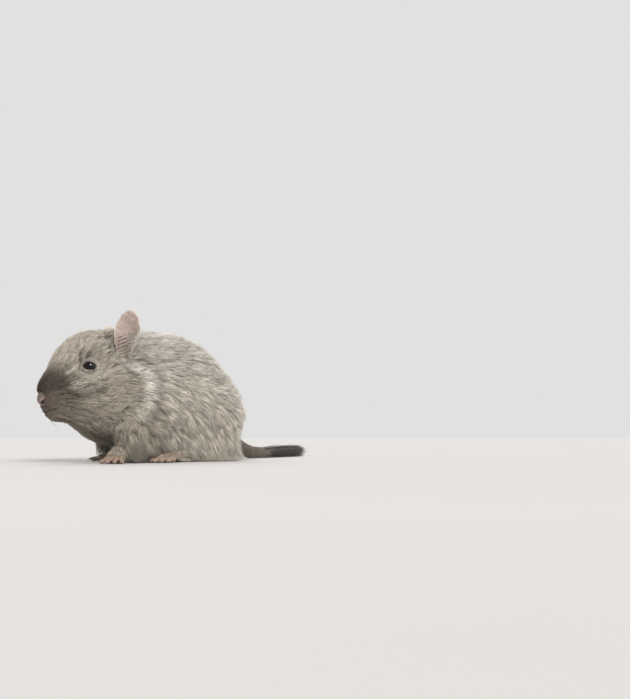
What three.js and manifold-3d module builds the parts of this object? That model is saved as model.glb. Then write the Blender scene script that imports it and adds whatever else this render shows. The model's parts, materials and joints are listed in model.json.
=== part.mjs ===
// A degu, life size, crouching on all fours with its head turned a little to its right.
// Millimetres, +Z up. The nose points to -X, the left side faces -Y, and it rests on Z = 0.
// The flesh is one smooth body of blended masses, parted by thin cuts into the parts that a
// person would name. Ears, paws and tail grow from it face to face across the same thin gap.
import * as THREE from "three";
import { mergeVertices } from "three/addons/utils/BufferGeometryUtils.js";
import Module from "manifold-3d";

const wasm = await Module();
wasm.setup();

// Driving sizes
const GAP = 0.3; // between touching parts
const NOSE_TIP = [-59, 16, 32]; // foremost point of the head
const HEAD_YAW = 22; // degrees that the head turns to its right
const HEAD_PITCH = 20; // degrees that the nose points down
const HEAD_ROLL = -8; // degrees that the crown leans to its right
const EYE_RADIUS = 3.6;
const EYE_STAND_OUT = 2; // how far the eye stands out of the coat
const EYE_OPENING = 6.6; // from corner to corner
const EYE_OPENING_HEIGHT = 4.8;
const LID_THICKNESS = 0.6;
const LID_ROLL = 0.72; // radius of the rim of each lid
const UPPER_LID_ANGLE = 43; // from straight out to the middle of the lid's rim
const LOWER_LID_ANGLE = 40;
const MOUTH_HEIGHT = -10; // at the front, in the head's frame
const MOUTH_WIDTH = 0.64;
const LIP_RADIUS = 1.2;
const LIP_SINK = 0.85;
const LIP_CENTRE = 10.5; // middle of the lips' bow, back from the nose tip
const EAR_HEIGHT = 24.5;
const EAR_WIDTH = 11.8;
const EAR_THICKNESS = 1.1;
const TAIL_BASE_RADIUS = 4.6;
const TAIL_END_RADIUS = 2.5;
const BRUSH_START = 0.62; // as a share of the tail's length
const BRUSH_RADIUS = 4.4;
const BRUSH_LOCKS = 22;
const LOCK_LENGTH = 18;
const LOCK_WIDTH = 3.6;
const LOCK_FLOOR_CLEARANCE = 0.7;
const BRUSH_SEED = 7;

// How finely the rounded masses are faceted
const HEAD_DETAIL = 11;
const BODY_DETAIL = 9;

// Colours and finishes
const coat = new THREE.MeshStandardMaterial({ color: "#a9a297", roughness: 0.9, metalness: 0 });
const earSkin = new THREE.MeshStandardMaterial({ color: "#ab978d", roughness: 0.7, metalness: 0 });
const noseSkin = new THREE.MeshStandardMaterial({ color: "#7d675e", roughness: 0.5, metalness: 0 });
const pawSkin = new THREE.MeshStandardMaterial({ color: "#937e70", roughness: 0.7, metalness: 0 });
const eyeGloss = new THREE.MeshStandardMaterial({ color: "#0b0909", roughness: 0.08, metalness: 0 });
const brushHair = new THREE.MeshStandardMaterial({ color: "#3a3532", roughness: 0.9, metalness: 0 });

const LEFT = -1;
const RIGHT = 1;
const SIDES = { left: LEFT, right: RIGHT };
const radians = THREE.MathUtils.degToRad;
const vec = (x, y, z) => new THREE.Vector3(x, y, z);

// A repeatable stream of draws between 0 and 1
function seeded(seed) {
  let state = seed;
  return () => {
    state = (state * 1664525 + 1013904223) % 4294967296;
    return state / 4294967296;
  };
}

// The head's own frame: u runs back from the nose tip, w to its right, v up
const headFrame = new THREE.Matrix4().compose(
  vec(...NOSE_TIP),
  new THREE.Quaternion().setFromEuler(
    new THREE.Euler(radians(HEAD_ROLL), radians(-HEAD_PITCH), radians(-HEAD_YAW), "ZYX"),
  ),
  vec(1, 1, 1),
);
const headTurn = new THREE.Quaternion().setFromRotationMatrix(headFrame);
const onHead = (u, w, v) => vec(u, w, v).applyMatrix4(headFrame);

// Fields: functions of a point that are negative inside a mass and grow with the distance

// An ellipsoid, turned by a quaternion
function ball(centre, radii, turn = new THREE.Quaternion()) {
  const size = vec(...radii);
  const unturn = turn.clone().invert();
  const near = vec(0, 0, 0);
  const steep = vec(0, 0, 0);
  return (point) => {
    near.copy(point).sub(centre).applyQuaternion(unturn).divide(size);
    steep.copy(near).divide(size);
    const reach = near.length();
    return (reach * (reach - 1)) / Math.max(steep.length(), 1e-6);
  };
}

// A rounded cone from one ball to another
function cone(start, end, startRadius, endRadius) {
  const along = end.clone().sub(start);
  const offset = vec(0, 0, 0);
  const nearest = vec(0, 0, 0);
  return (point) => {
    offset.copy(point).sub(start);
    const share = THREE.MathUtils.clamp(offset.dot(along) / along.lengthSq(), 0, 1);
    nearest.copy(along).multiplyScalar(share).add(start);
    return nearest.distanceTo(point) - THREE.MathUtils.lerp(startRadius, endRadius, share);
  };
}

// Several masses that flow into one another over a blend of the given width
function blended(masses, width) {
  return (point) =>
    masses.reduce((found, mass) => {
      const value = mass(point);
      const overlap = Math.max(width - Math.abs(found - value), 0) / width;
      return Math.min(found, value) - (overlap * overlap * width) / 4;
    }, 1e3);
}

// The trunk: rib cage, belly, rump, haunches, shoulders, chest, nape and the tops of the forelegs
const trunk = blended(
  [
    ball(vec(-6, 0, 35), [29, 25, 28]),
    ball(vec(12, 0, 33), [29, 27, 28]),
    ball(vec(33.5, 0, 23), [17.5, 20, 18.5]),
    ball(vec(20, 17, 22), [21, 14.5, 19]),
    ball(vec(20, -17, 22), [21, 14.5, 19]),
    ball(vec(-16, 13, 26), [14, 11, 17]),
    ball(vec(-16, -13, 26), [14, 11, 17]),
    ball(vec(-26, 4, 27), [14, 14, 16]),
    ball(vec(-19, 0, 44), [17, 16, 16]),
    ball(vec(-25.5, -14.5, 20), [9.5, 8.5, 11]),
    ball(vec(-2, 13.5, 19), [10, 8.5, 11]),
  ],
  10,
);

// The head: skull, brow, bridge, cheeks, jaw, whisker pads, chin and nose, in its own frame
const headBall = (u, w, v, radii) => ball(onHead(u, w, v), radii, headTurn);
const skull = blended(
  [
    headBall(32.5, 0, 1.2, [18.5, 18, 17.6]),
    headBall(27.5, 0, 7, [13, 12.3, 11.8]),
    cone(onHead(11, 0, -1.6), onHead(25, 0, 0.6), 8.8, 14.6),
    headBall(27, 9, -9, [14, 10.5, 12.5]),
    headBall(27, -9, -9, [14, 10.5, 12.5]),
    cone(onHead(9.6, 0, -9.7), onHead(24, 0, -16.5), 6.4, 13),
    cone(onHead(8.6, 0, -0.4), onHead(19, 0, 6.6), 4, 7),
  ],
  7,
);
const muzzle = blended(
  [
    skull,
    headBall(7.9, 3.8, -6, [6.6, 5.2, 6.2]),
    headBall(7.9, -3.8, -6, [6.6, 5.2, 6.2]),
    headBall(6.6, 0, -12, [4.8, 4.4, 3.8]),
    headBall(7.4, 0, -0.8, [4.8, 5, 4.2]),
  ],
  3.6,
);
const plainFlesh = blended([trunk, muzzle], 9);

// The place where a ray that starts inside the flesh leaves it
function surfaceAlong(start, direction) {
  const heading = direction.clone().normalize();
  let inner = 0;
  let outer = 60;
  for (let turn = 0; turn < 24; turn += 1) {
    const middle = (inner + outer) / 2;
    if (plainFlesh(start.clone().addScaledVector(heading, middle)) < 0) inner = middle;
    else outer = middle;
  }
  return start.clone().addScaledVector(heading, inner);
}

// Each eye's centre and directions, and the swelling of the lids round it
const eyeOut = (side) => vec(-0.28, side, 0.1).normalize().applyQuaternion(headTurn);
const eyeAlong = (side) => vec(0.93, 0.27 * side, -0.25).normalize().applyQuaternion(headTurn);
const eyePlace = Object.fromEntries(
  Object.values(SIDES).map((side) => {
    const onSkin = surfaceAlong(onHead(25, 10 * side, 1), eyeOut(side));
    return [side, onSkin.addScaledVector(eyeOut(side), EYE_STAND_OUT - EYE_RADIUS)];
  }),
);
const eyeCentre = (side) => eyePlace[side].clone();
const LID_RADIUS = EYE_RADIUS + GAP + LID_THICKNESS;
const lidSwelling = (side) => ball(eyeCentre(side), [LID_RADIUS, LID_RADIUS, LID_RADIUS]);
const flesh = blended([plainFlesh, lidSwelling(LEFT), lidSwelling(RIGHT)], 2.2);

// Solids

// A three.js shape as a manifold-3d solid
function solid(geometry) {
  const bare = new THREE.BufferGeometry();
  bare.setAttribute("position", geometry.getAttribute("position"));
  bare.setIndex(geometry.getIndex());
  const merged = mergeVertices(bare, 1e-4);
  const corners = merged.getIndex().array;
  const kept = [];
  for (let i = 0; i < corners.length; i += 3) {
    const [a, b, c] = corners.slice(i, i + 3);
    if (a !== b && b !== c && c !== a) kept.push(a, b, c);
  }
  const made = new wasm.Manifold(
    new wasm.Mesh({
      numProp: 3,
      vertProperties: merged.getAttribute("position").array,
      triVerts: new Uint32Array(kept),
    }),
  );
  return made;
}

// The largest closed piece of a solid
function largest(made) {
  return made.decompose().reduce((best, piece) => (piece.volume() > best.volume() ? piece : best));
}

// A solid as a named mesh
function meshOf(name, made, material) {
  const { vertProperties, triVerts, numProp } = largest(made).getMesh();
  const position = new Float32Array((vertProperties.length / numProp) * 3);
  for (let i = 0; i < position.length / 3; i += 1) {
    position.set(vertProperties.subarray(i * numProp, i * numProp + 3), i * 3);
  }
  const geometry = new THREE.BufferGeometry();
  geometry.setAttribute("position", new THREE.BufferAttribute(position, 3));
  geometry.setIndex(new THREE.BufferAttribute(new Uint32Array(triVerts), 1));
  geometry.computeVertexNormals();
  const mesh = new THREE.Mesh(geometry, material);
  mesh.name = name;
  return mesh;
}

// A fine ball whose corners are moved along their rays from the centre to the field's surface,
// or to a surface that lies the given distance outside it
function wrapped(field, centre, detail, outside = 0, farthest = 90) {
  const geometry = new THREE.IcosahedronGeometry(1, detail);
  const corners = geometry.getAttribute("position");
  const ray = vec(0, 0, 0);
  const point = vec(0, 0, 0);
  const step = 1.5;
  const value = (length) => field(point.copy(ray).multiplyScalar(length).add(centre)) - outside;
  for (let i = 0; i < corners.count; i += 1) {
    ray.fromBufferAttribute(corners, i).normalize();
    let inner = 0;
    let outer = step;
    while (outer < farthest && value(outer) < 0) {
      inner = outer;
      outer += step;
    }
    for (let turn = 0; turn < 14; turn += 1) {
      const middle = (inner + outer) / 2;
      if (value(middle) < 0) inner = middle;
      else outer = middle;
    }
    ray.multiplyScalar(inner).add(centre);
    corners.setXYZ(i, Math.fround(ray.x), Math.fround(ray.y), Math.fround(ray.z));
  }
  return solid(geometry);
}

// A tapering limb: a ball's rings slid along a smooth path, with round ends. A flat limb is wide
// along the given sideways direction and thin across it.
function limb(path, radiusAt, sides, rings, flatness = 1, sideways = null) {
  const curve = new THREE.CatmullRomCurve3(path);
  const length = curve.getLength();
  const frames = curve.computeFrenetFrames(100, false);
  const geometry = new THREE.SphereGeometry(1, sides, rings);
  const corners = geometry.getAttribute("position");
  for (let i = 0; i < corners.count; i += 1) {
    const polar = Math.acos(THREE.MathUtils.clamp(corners.getY(i), -1, 1));
    const around = Math.atan2(corners.getZ(i), corners.getX(i));
    const share = (1 - Math.cos(polar)) / 2;
    const full = radiusAt(share);
    const rounding = Math.min(1, Math.sin(polar) * Math.sqrt(length / (2 * full)));
    const radius = polar < 1e-3 || polar > Math.PI - 1e-3 ? 0 : full * rounding;
    const at = Math.round(share * 100);
    const wide = sideways ? sideways.clone() : frames.normals[at];
    const thin = sideways ? frames.tangents[at].clone().cross(wide).normalize() : frames.binormals[at];
    const place = curve.getPointAt(share);
    place.addScaledVector(wide, Math.cos(around) * radius);
    place.addScaledVector(thin, -Math.sin(around) * radius * flatness);
    corners.setXYZ(i, place.x, place.y, place.z);
  }
  const made = solid(geometry);
  return made.volume() > 0 ? made : solid(flipped(geometry));
}

// The same shape with its faces turned round
function flipped(geometry) {
  const index = geometry.getIndex().array;
  for (let i = 0; i < index.length; i += 3) [index[i], index[i + 1]] = [index[i + 1], index[i]];
  return geometry;
}

function box(low, high) {
  const size = high.clone().sub(low);
  const geometry = new THREE.BoxGeometry(size.x, size.y, size.z);
  const middle = low.clone().add(high).multiplyScalar(0.5);
  geometry.translate(middle.x, middle.y, middle.z);
  return solid(geometry);
}

const floor = box(vec(-300, -300, -60), vec(300, 300, 0));

// A half space that starts at a point and lies on the side its normal points to
function halfSpace(point, normal) {
  const geometry = new THREE.BoxGeometry(400, 400, 400).translate(0, 0, 200);
  const turn = new THREE.Quaternion().setFromUnitVectors(vec(0, 0, 1), normal.clone().normalize());
  geometry.applyQuaternion(turn).translate(point.x, point.y, point.z);
  return solid(geometry);
}

function union(pieces) {
  return pieces.reduce((whole, piece) => whole.add(piece));
}

// The flesh as solids: the head with finer facets towards the nose, and the rest of the body
const HEAD_CENTRE = onHead(21, 0, -3);
const BODY_CENTRE = vec(8, 0, 34);
const headSkin = wrapped(flesh, HEAD_CENTRE, HEAD_DETAIL);
const headSkinGrown = wrapped(flesh, HEAD_CENTRE, 9, GAP);
const headSkinInner = wrapped(flesh, HEAD_CENTRE, 7, -1.3);
const bodySkin = wrapped(flesh, BODY_CENTRE, BODY_DETAIL);
const bodySkinGrown = wrapped(flesh, BODY_CENTRE, 9, GAP);

// The eyes, each a ball in a socket, seen through an opening between two lids
function eyeBall(side, radius, fineness) {
  const geometry = new THREE.SphereGeometry(radius, fineness, Math.round(fineness * 0.6));
  const turn = new THREE.Quaternion().setFromUnitVectors(vec(0, 1, 0), eyeOut(side));
  const place = eyeCentre(side);
  return solid(geometry.applyQuaternion(turn).translate(place.x, place.y, place.z));
}
// Directions round an eye: from corner to corner, to the brow, and outwards
function eyeFrame(side) {
  const axis = eyeAlong(side);
  const out = eyeOut(side);
  out.addScaledVector(axis, -out.dot(axis)).normalize();
  const upward = axis.clone().cross(out).multiplyScalar(-side);
  return { axis, out, upward };
}
// The opening is an almond, where two round shafts that run outwards cross
function eyeOpening(side) {
  const { out, upward } = eyeFrame(side);
  const half = EYE_OPENING / 2;
  const rise = EYE_OPENING_HEIGHT / 2;
  const round = (half * half + rise * rise) / (2 * rise);
  const shafts = [1, -1].map((direction) => {
    const geometry = new THREE.CylinderGeometry(round, round, 8, 40).translate(0, 4, 0);
    const turn = new THREE.Quaternion().setFromUnitVectors(vec(0, 1, 0), out);
    const place = eyeCentre(side).addScaledVector(upward, direction * (rise - round));
    return solid(geometry.applyQuaternion(turn).translate(place.x, place.y, place.z));
  });
  return shafts[0].intersect(shafts[1]);
}
// A lid's rim: a soft roll that runs over the eye from corner to corner
function lid(side, direction, degrees) {
  const { axis, out, upward } = eyeFrame(side);
  const reach = EYE_RADIUS + GAP + LID_ROLL * 0.45;
  const path = [-1, -0.62, -0.22, 0.22, 0.62, 1].map((step) => {
    const swing = radians(58) * step;
    const tilt = radians(degrees) * Math.cos(1.2 * step);
    const rise = upward.clone().multiplyScalar(direction * Math.sin(tilt));
    const place = eyeCentre(side).addScaledVector(axis, Math.sin(swing) * reach);
    return place.addScaledVector(rise.addScaledVector(out, Math.cos(tilt)), Math.cos(swing) * reach);
  });
  return limb(path, (share) => LID_ROLL * (0.45 + 0.55 * Math.sin(Math.PI * share)), 6, 9);
}

// The nose pad with its two comma shaped nostrils
function nosePad(grow) {
  const geometry = new THREE.SphereGeometry(1, 14, 10);
  geometry.scale(5.2 + grow, 4.8 + grow, 4.1 + grow).applyMatrix4(headFrame);
  const place = onHead(4.9, 0, -3.8).sub(vec(...NOSE_TIP));
  return solid(geometry.translate(place.x, place.y, place.z));
}
function nostril(side) {
  const path = [
    onHead(0.2, 1.3 * side, -5.7),
    onHead(0.6, 2.5 * side, -5.4),
    onHead(1.8, 4 * side, -4.2),
    onHead(3.6, 5 * side, -3.9),
  ];
  return limb(path, (share) => THREE.MathUtils.lerp(0.8, 0.5, share), 6, 6);
}

// The mouth: a thin groove that drops from the front of the muzzle to a corner on each side
const mouthLine = (back) => MOUTH_HEIGHT - 0.028 * Math.max(0, back) ** 2;
function mouthGroove() {
  const steps = Array.from({ length: 9 }, (_, i) => 2 * i - 6);
  const points = steps.map((back) => new THREE.Vector2(back, mouthLine(back)));
  const outline = new THREE.Shape([
    ...points.map((at) => new THREE.Vector2(at.x, at.y + MOUTH_WIDTH / 2)),
    ...points.reverse().map((at) => new THREE.Vector2(at.x, at.y - MOUTH_WIDTH / 2)),
  ]);
  const geometry = new THREE.ExtrudeGeometry(outline, { depth: 30, bevelEnabled: false, steps: 1 });
  geometry.translate(0, 0, -15).rotateX(Math.PI / 2).applyMatrix4(headFrame);
  return solid(geometry).subtract(headSkinInner);
}
// A lip: a soft roll that follows the groove round the muzzle, above or below it
function lip(direction) {
  const path = [-1, -0.75, -0.5, -0.25, 0, 0.25, 0.5, 0.75, 1].map((step) => {
    const swing = step * 1.35;
    const heading = vec(-Math.cos(swing), Math.sin(swing), 0).applyQuaternion(headTurn);
    const height = mouthLine(LIP_CENTRE * (1 - Math.cos(swing))) + direction * LIP_RADIUS;
    const onSkin = surfaceAlong(onHead(LIP_CENTRE, 0, height), heading);
    return onSkin.addScaledVector(heading, -LIP_SINK);
  });
  return limb(path, (share) => LIP_RADIUS * (0.5 + 0.5 * Math.sin(Math.PI * share)), 8, 14);
}
// The cleft that runs from the nose down to the mouth
function cleft() {
  const path = [onHead(-2, 0, -6.4), onHead(-1.4, 0, -8.4), onHead(-1.2, 0, -10.4)];
  const inward = vec(1, 0, 0).applyQuaternion(headTurn);
  return limb(path, () => 2.6, 4, 6, 0.16, inward).subtract(headSkinInner);
}

// An ear: a ball pressed into a thin cup that narrows to its root
function ear(side) {
  const geometry = new THREE.SphereGeometry(1, 20, 16);
  const corners = geometry.getAttribute("position");
  for (let i = 0; i < corners.count; i += 1) {
    const across = corners.getX(i);
    const up = corners.getY(i);
    const through = corners.getZ(i);
    const rise = (up + 1) / 2;
    const narrow = THREE.MathUtils.lerp(0.62, 1.04, THREE.MathUtils.smoothstep(rise, 0.05, 0.62));
    const cup = THREE.MathUtils.lerp(7.5, 1.9, THREE.MathUtils.smoothstep(rise, 0.1, 0.8));
    const thick = THREE.MathUtils.lerp(1.7, 1, THREE.MathUtils.smoothstep(rise, 0.1, 0.5));
    corners.setXYZ(
      i,
      (across * narrow * EAR_WIDTH) / 2,
      (up + 1) * (EAR_HEIGHT / 2),
      cup * across * across + 1.6 * up * up + (through * thick * EAR_THICKNESS) / 2,
    );
  }
  // Its opening looks outward and forward, its tip back and a little out
  const upward = vec(0.47, -0.02 * side, 0.88).normalize();
  const facing = vec(-0.52, 0.84 * side, 0.06);
  facing.addScaledVector(upward, -facing.dot(upward)).normalize();
  const sideways = upward.clone().cross(facing);
  const turn = new THREE.Matrix4().makeBasis(sideways, upward, facing);
  geometry.applyMatrix4(turn).translate(40.3, 15.6 * side, -0.6).applyMatrix4(headFrame);
  return solid(geometry);
}

// A digit that arches to its pad and ends in a short curved claw
function digit(root, toward, length, radius) {
  const across = vec(toward.x, toward.y, 0).normalize();
  const at = (share, height) => root.clone().addScaledVector(across, length * share).setZ(height);
  const finger = limb(
    [at(-0.25, root.z), at(0.3, radius * 1.35), at(0.7, radius * 0.95), at(1, radius * 0.75)],
    (share) => radius * (1 - 0.28 * share),
    6,
    5,
  );
  const claw = limb(
    [at(0.8, radius * 0.9), at(1.08, radius * 1.1), at(1.3, radius * 0.35)],
    (share) => radius * THREE.MathUtils.lerp(0.5, 0.12, share),
    4,
    3,
  );
  return finger.add(claw);
}

// A forearm from the elbow to the wrist, and the paw below it with four digits
const ELBOW = { left: vec(-30, -18.5, 15.5), right: vec(-1, 14, 15) };
const WRIST = { left: vec(-38.5, -18, 5.2), right: vec(-10, 8.5, 5.2) };
const PAW_TURN = { left: 36, right: 4 }; // degrees outwards
function forearm(name, grow) {
  const elbow = ELBOW[name];
  const wrist = WRIST[name];
  const behind = elbow.clone().lerp(wrist, -0.35).setZ(elbow.z + 3);
  const middle = elbow.clone().lerp(wrist, 0.5).add(vec(0, 0, -1.5));
  const radius = (share) => THREE.MathUtils.lerp(8.6, 3.2, THREE.MathUtils.smoothstep(share, 0.15, 1));
  return limb([behind, elbow, middle, wrist], (share) => radius(share) + grow, 12, 10);
}
// A step on the floor plane: ahead along the paw, and aside to the animal's right
function pawStep(name, ahead, aside, height) {
  const turn = radians(PAW_TURN[name]) * SIDES[name];
  const forward = vec(-Math.cos(turn), Math.sin(turn), 0);
  const rightward = vec(Math.sin(turn), Math.cos(turn), 0);
  return forward.multiplyScalar(ahead).addScaledVector(rightward, aside).setZ(height);
}
function palm(name, grow) {
  const wrist = WRIST[name];
  return limb(
    [[-0.5, 4.8], [3, 3.4], [7.5, 2.3]].map(([ahead, height]) =>
      pawStep(name, ahead, 0, height - wrist.z).add(wrist),
    ),
    (share) => THREE.MathUtils.lerp(2.7, 3.1, share) + grow,
    8,
    6,
  );
}
function forepaw(name) {
  const wrist = WRIST[name];
  const digits = [-1.5, -0.5, 0.5, 1.5].map((step) => {
    const root = pawStep(name, 7.2 - Math.abs(step) * 0.9, step * 1.75, 2.2 - wrist.z).add(wrist);
    const toward = pawStep(name, 1, step * 0.24, 0);
    return digit(root, toward, 6.6 - Math.abs(step) * 0.6, 1.15);
  });
  return union([palm(name, 0), ...digits]);
}

// The long hind foot, flat on the floor from heel to toes
const HEEL = { left: vec(13, -16.5, 3.2), right: vec(17, 16, 3.2) };
const TOES = { left: vec(-14, -23.5, 2.6), right: vec(-8, 23, 2.6) };
function sole(name, grow) {
  const heel = HEEL[name];
  const toes = TOES[name];
  const middle = heel.clone().lerp(toes, 0.55).setZ(3);
  return limb([heel, middle, toes], (share) => THREE.MathUtils.lerp(3, 3.7, share) + grow, 8, 8);
}
function hindFoot(name) {
  const toes = TOES[name];
  const side = SIDES[name];
  const along = toes.clone().sub(HEEL[name]).setZ(0).normalize();
  const across = vec(-along.y, along.x, 0);
  const digits = [-2, -1, 0, 1, 2].map((step) => {
    const root = toes.clone().addScaledVector(across, step * 1.65);
    root.addScaledVector(along, 1.6 - Math.abs(step) * 1.1).setZ(2.4);
    const toward = along.clone().addScaledVector(across, step * 0.11 + side * 0.04);
    return digit(root, toward, 8 - Math.abs(step) * 1.1, 1.3);
  });
  return union([sole(name, 0), ...digits]);
}

// The haunch that bulges over the knee
function haunch(side, grow) {
  const geometry = new THREE.SphereGeometry(1, 20, 12);
  geometry.scale(18.5 + grow, 15 + grow, 17.5 + grow).rotateY(radians(-18));
  return solid(geometry.translate(16.5 + 3 * side, 26 * side, 20.5));
}

// The tail lies on the floor behind the body
const tailPath = [
  vec(38, 0, 19),
  vec(50, 0.5, 14.5),
  vec(62, 2, 8),
  vec(76, 5, 3.9),
  vec(92, 9.5, 3),
  vec(110, 14.5, 2.8),
  vec(128, 17, 2.9),
];
const tailCurve = new THREE.CatmullRomCurve3(tailPath);
const tailRadius = (share) => THREE.MathUtils.lerp(TAIL_BASE_RADIUS, TAIL_END_RADIUS, share);
const tailSolid = limb(tailPath, tailRadius, 12, 40);
function acrossTail(share, shift = 0) {
  const along = tailCurve.getTangentAt(share);
  return halfSpace(tailCurve.getPointAt(share).addScaledVector(along, shift), along);
}
// The tail's own end inside the brush
function brushCore() {
  const path = [0, 0.33, 0.66, 1].map((step) =>
    tailCurve.getPointAt(THREE.MathUtils.lerp(BRUSH_START - 0.02, 1, step)),
  );
  return limb(path, (share) => THREE.MathUtils.lerp(TAIL_END_RADIUS, 1.7, share), 10, 8);
}
// A point of the tail's middle line, which runs straight on past its end
function alongTail(share) {
  const past = Math.max(0, share - 1) * tailCurve.getLength();
  const kept = Math.min(share, 1);
  return tailCurve.getPointAt(kept).addScaledVector(tailCurve.getTangentAt(kept), past);
}
// The brush's locks: flat and tapered, rooted in the core all round, lying back along the tail
function brushLocks() {
  const random = seeded(BRUSH_SEED);
  return Array.from({ length: BRUSH_LOCKS }, (_, i) => {
    const step = Math.max(0, i - 4) / (BRUSH_LOCKS - 5);
    const rootShare = THREE.MathUtils.lerp(BRUSH_START + 0.005, 0.97, step);
    const swing = i * radians(137.5) + random() * 0.4;
    const tangent = tailCurve.getTangentAt(rootShare);
    const aside = vec(0, 0, 1).cross(tangent).normalize();
    const upward = tangent.clone().cross(aside).normalize();
    const out = aside.clone().multiplyScalar(Math.cos(swing)).addScaledVector(upward, Math.sin(swing));
    const wide = tangent.clone().cross(out).normalize();
    const length = (LOCK_LENGTH * (0.85 + 0.3 * random())) / tailCurve.getLength();
    const reach = BRUSH_RADIUS * (0.85 + 0.25 * random());
    const lifts = [[0, 0.3], [0.35, 0.66 * reach], [0.7, 0.92 * reach], [1, reach]];
    const path = lifts.map(([share, lift]) => {
      const place = alongTail(rootShare + length * share).addScaledVector(out, lift);
      return place.setZ(Math.max(place.z, LOCK_FLOOR_CLEARANCE));
    });
    const width = LOCK_WIDTH * (0.85 + 0.3 * random());
    return limb(path, (share) => (width / 2) * (1 - 0.8 * share * share), 4, 5, 0.32, wide);
  });
}

// Planes that part the head from the neck and the neck from the torso
const HEAD_CUT = onHead(48, 0, 10);
const HEAD_BACK = vec(0.777, 0, -0.63).applyQuaternion(headTurn);
const NECK_CUT = vec(-4, 0, 65);
const NECK_BACK = vec(0.88, -0.1, -0.46).normalize();
const behind = (point, normal, shift) =>
  halfSpace(point.clone().addScaledVector(normal, shift), normal);
const limbsGrown = union(
  Object.keys(SIDES).flatMap((name) => [forearm(name, GAP), palm(name, GAP), sole(name, GAP)]),
);
const group = new THREE.Group();
const add = (name, made, material) => group.add(meshOf(name, made, material));

let headMade = headSkin.subtract(behind(HEAD_CUT, HEAD_BACK, 0));
for (const side of [LEFT, RIGHT]) {
  headMade = headMade.subtract(eyeOpening(side));
  headMade = headMade.add(lid(side, 1, UPPER_LID_ANGLE)).add(lid(side, -1, LOWER_LID_ANGLE));
  headMade = headMade.subtract(eyeBall(side, EYE_RADIUS + GAP, 16));
}
headMade = headMade.add(lip(1)).add(lip(-1));
headMade = headMade.subtract(nosePad(GAP)).subtract(mouthGroove()).subtract(cleft());
headMade = headMade.subtract(limbsGrown);
add("head", headMade, coat);

const padMade = nosePad(0).subtract(nostril(LEFT)).subtract(nostril(RIGHT));
add("nose", padMade, noseSkin);
for (const [name, side] of Object.entries(SIDES)) {
  add(`eye_${name}`, eyeBall(side, EYE_RADIUS, 16), eyeGloss);
  add(`ear_${name}`, ear(side).subtract(headSkinGrown), earSkin);
}

const headless = bodySkin.intersect(behind(HEAD_CUT, HEAD_BACK, GAP)).subtract(limbsGrown);
add("neck", headless.subtract(behind(NECK_CUT, NECK_BACK, 0)), coat);

const trunkMade = headless.intersect(behind(NECK_CUT, NECK_BACK, GAP));
let torsoMade = trunkMade;
for (const [name, side] of Object.entries(SIDES)) {
  add(`thigh_${name}`, trunkMade.intersect(haunch(side, 0)), coat);
  torsoMade = torsoMade.subtract(haunch(side, GAP));
}
add("torso", torsoMade, coat);

for (const name of Object.keys(SIDES)) {
  const wrist = WRIST[name];
  const down = vec(-0.45, 0, -1).normalize();
  const cut = wrist.clone().add(vec(1, 0, 1.6));
  add(`foreleg_${name}`, forearm(name, 0).subtract(behind(cut, down, 0)).subtract(floor), coat);
  add(`forepaw_${name}`, forepaw(name).intersect(behind(cut, down, GAP)).subtract(floor), pawSkin);
  add(`hindfoot_${name}`, hindFoot(name).subtract(floor), pawSkin);
}

const tailOut = tailSolid.subtract(bodySkinGrown).subtract(floor);
add("tail_base", tailOut.subtract(acrossTail(0.36)), coat);
add("tail_middle", tailOut.intersect(acrossTail(0.36, GAP)).subtract(acrossTail(BRUSH_START)), coat);
const brushWhole = union([tailOut, brushCore(), ...brushLocks()]);
const brushMade = brushWhole.intersect(acrossTail(BRUSH_START, GAP));
add("tail_brush", brushMade.subtract(floor), brushHair);

// The origin lies on the floor under the middle of the whole
group.updateMatrixWorld(true);
const middle = new THREE.Box3().setFromObject(group).getCenter(vec(0, 0, 0));
group.position.set(-middle.x, -middle.y, 0);

export default group;
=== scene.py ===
# %% [markdown]
# # A crouching degu, life size
#
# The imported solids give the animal's outline and proportions. This lesson dresses them: one skin
# under a coat of about 125,000 small tufts, wet dark eyes between their lids, folded
# ears, a bare nose, whiskers, paws with pads and claws, and a tail with its dark brush.
# Every length below is in millimetres until a mesh is finished, and metres inside the mesh.

# %% Load the solids
import json
import math

import bmesh
import bpy
import numpy as np
from mathutils import Matrix, Vector, kdtree

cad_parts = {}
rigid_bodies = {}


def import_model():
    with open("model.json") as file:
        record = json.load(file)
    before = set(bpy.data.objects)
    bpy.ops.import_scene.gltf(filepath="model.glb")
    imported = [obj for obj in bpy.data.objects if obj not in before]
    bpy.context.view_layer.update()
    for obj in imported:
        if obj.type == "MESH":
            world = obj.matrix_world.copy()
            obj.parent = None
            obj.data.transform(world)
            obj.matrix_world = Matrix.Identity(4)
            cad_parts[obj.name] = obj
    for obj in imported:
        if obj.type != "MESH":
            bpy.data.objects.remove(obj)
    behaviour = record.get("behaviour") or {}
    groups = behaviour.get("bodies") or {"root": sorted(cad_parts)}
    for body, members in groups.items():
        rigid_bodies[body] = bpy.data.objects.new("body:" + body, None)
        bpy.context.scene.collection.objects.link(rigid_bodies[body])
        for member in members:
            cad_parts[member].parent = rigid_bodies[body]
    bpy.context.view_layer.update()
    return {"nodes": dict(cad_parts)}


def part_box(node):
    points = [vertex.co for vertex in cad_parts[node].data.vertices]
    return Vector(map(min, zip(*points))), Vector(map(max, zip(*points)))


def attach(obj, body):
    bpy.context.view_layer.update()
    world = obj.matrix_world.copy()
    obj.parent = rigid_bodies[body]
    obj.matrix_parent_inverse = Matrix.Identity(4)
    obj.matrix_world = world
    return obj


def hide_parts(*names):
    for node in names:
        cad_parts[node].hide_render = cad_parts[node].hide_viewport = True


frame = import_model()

MM = 0.001
BODY = "root"
SIDES = {"left": -1, "right": 1}

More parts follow.
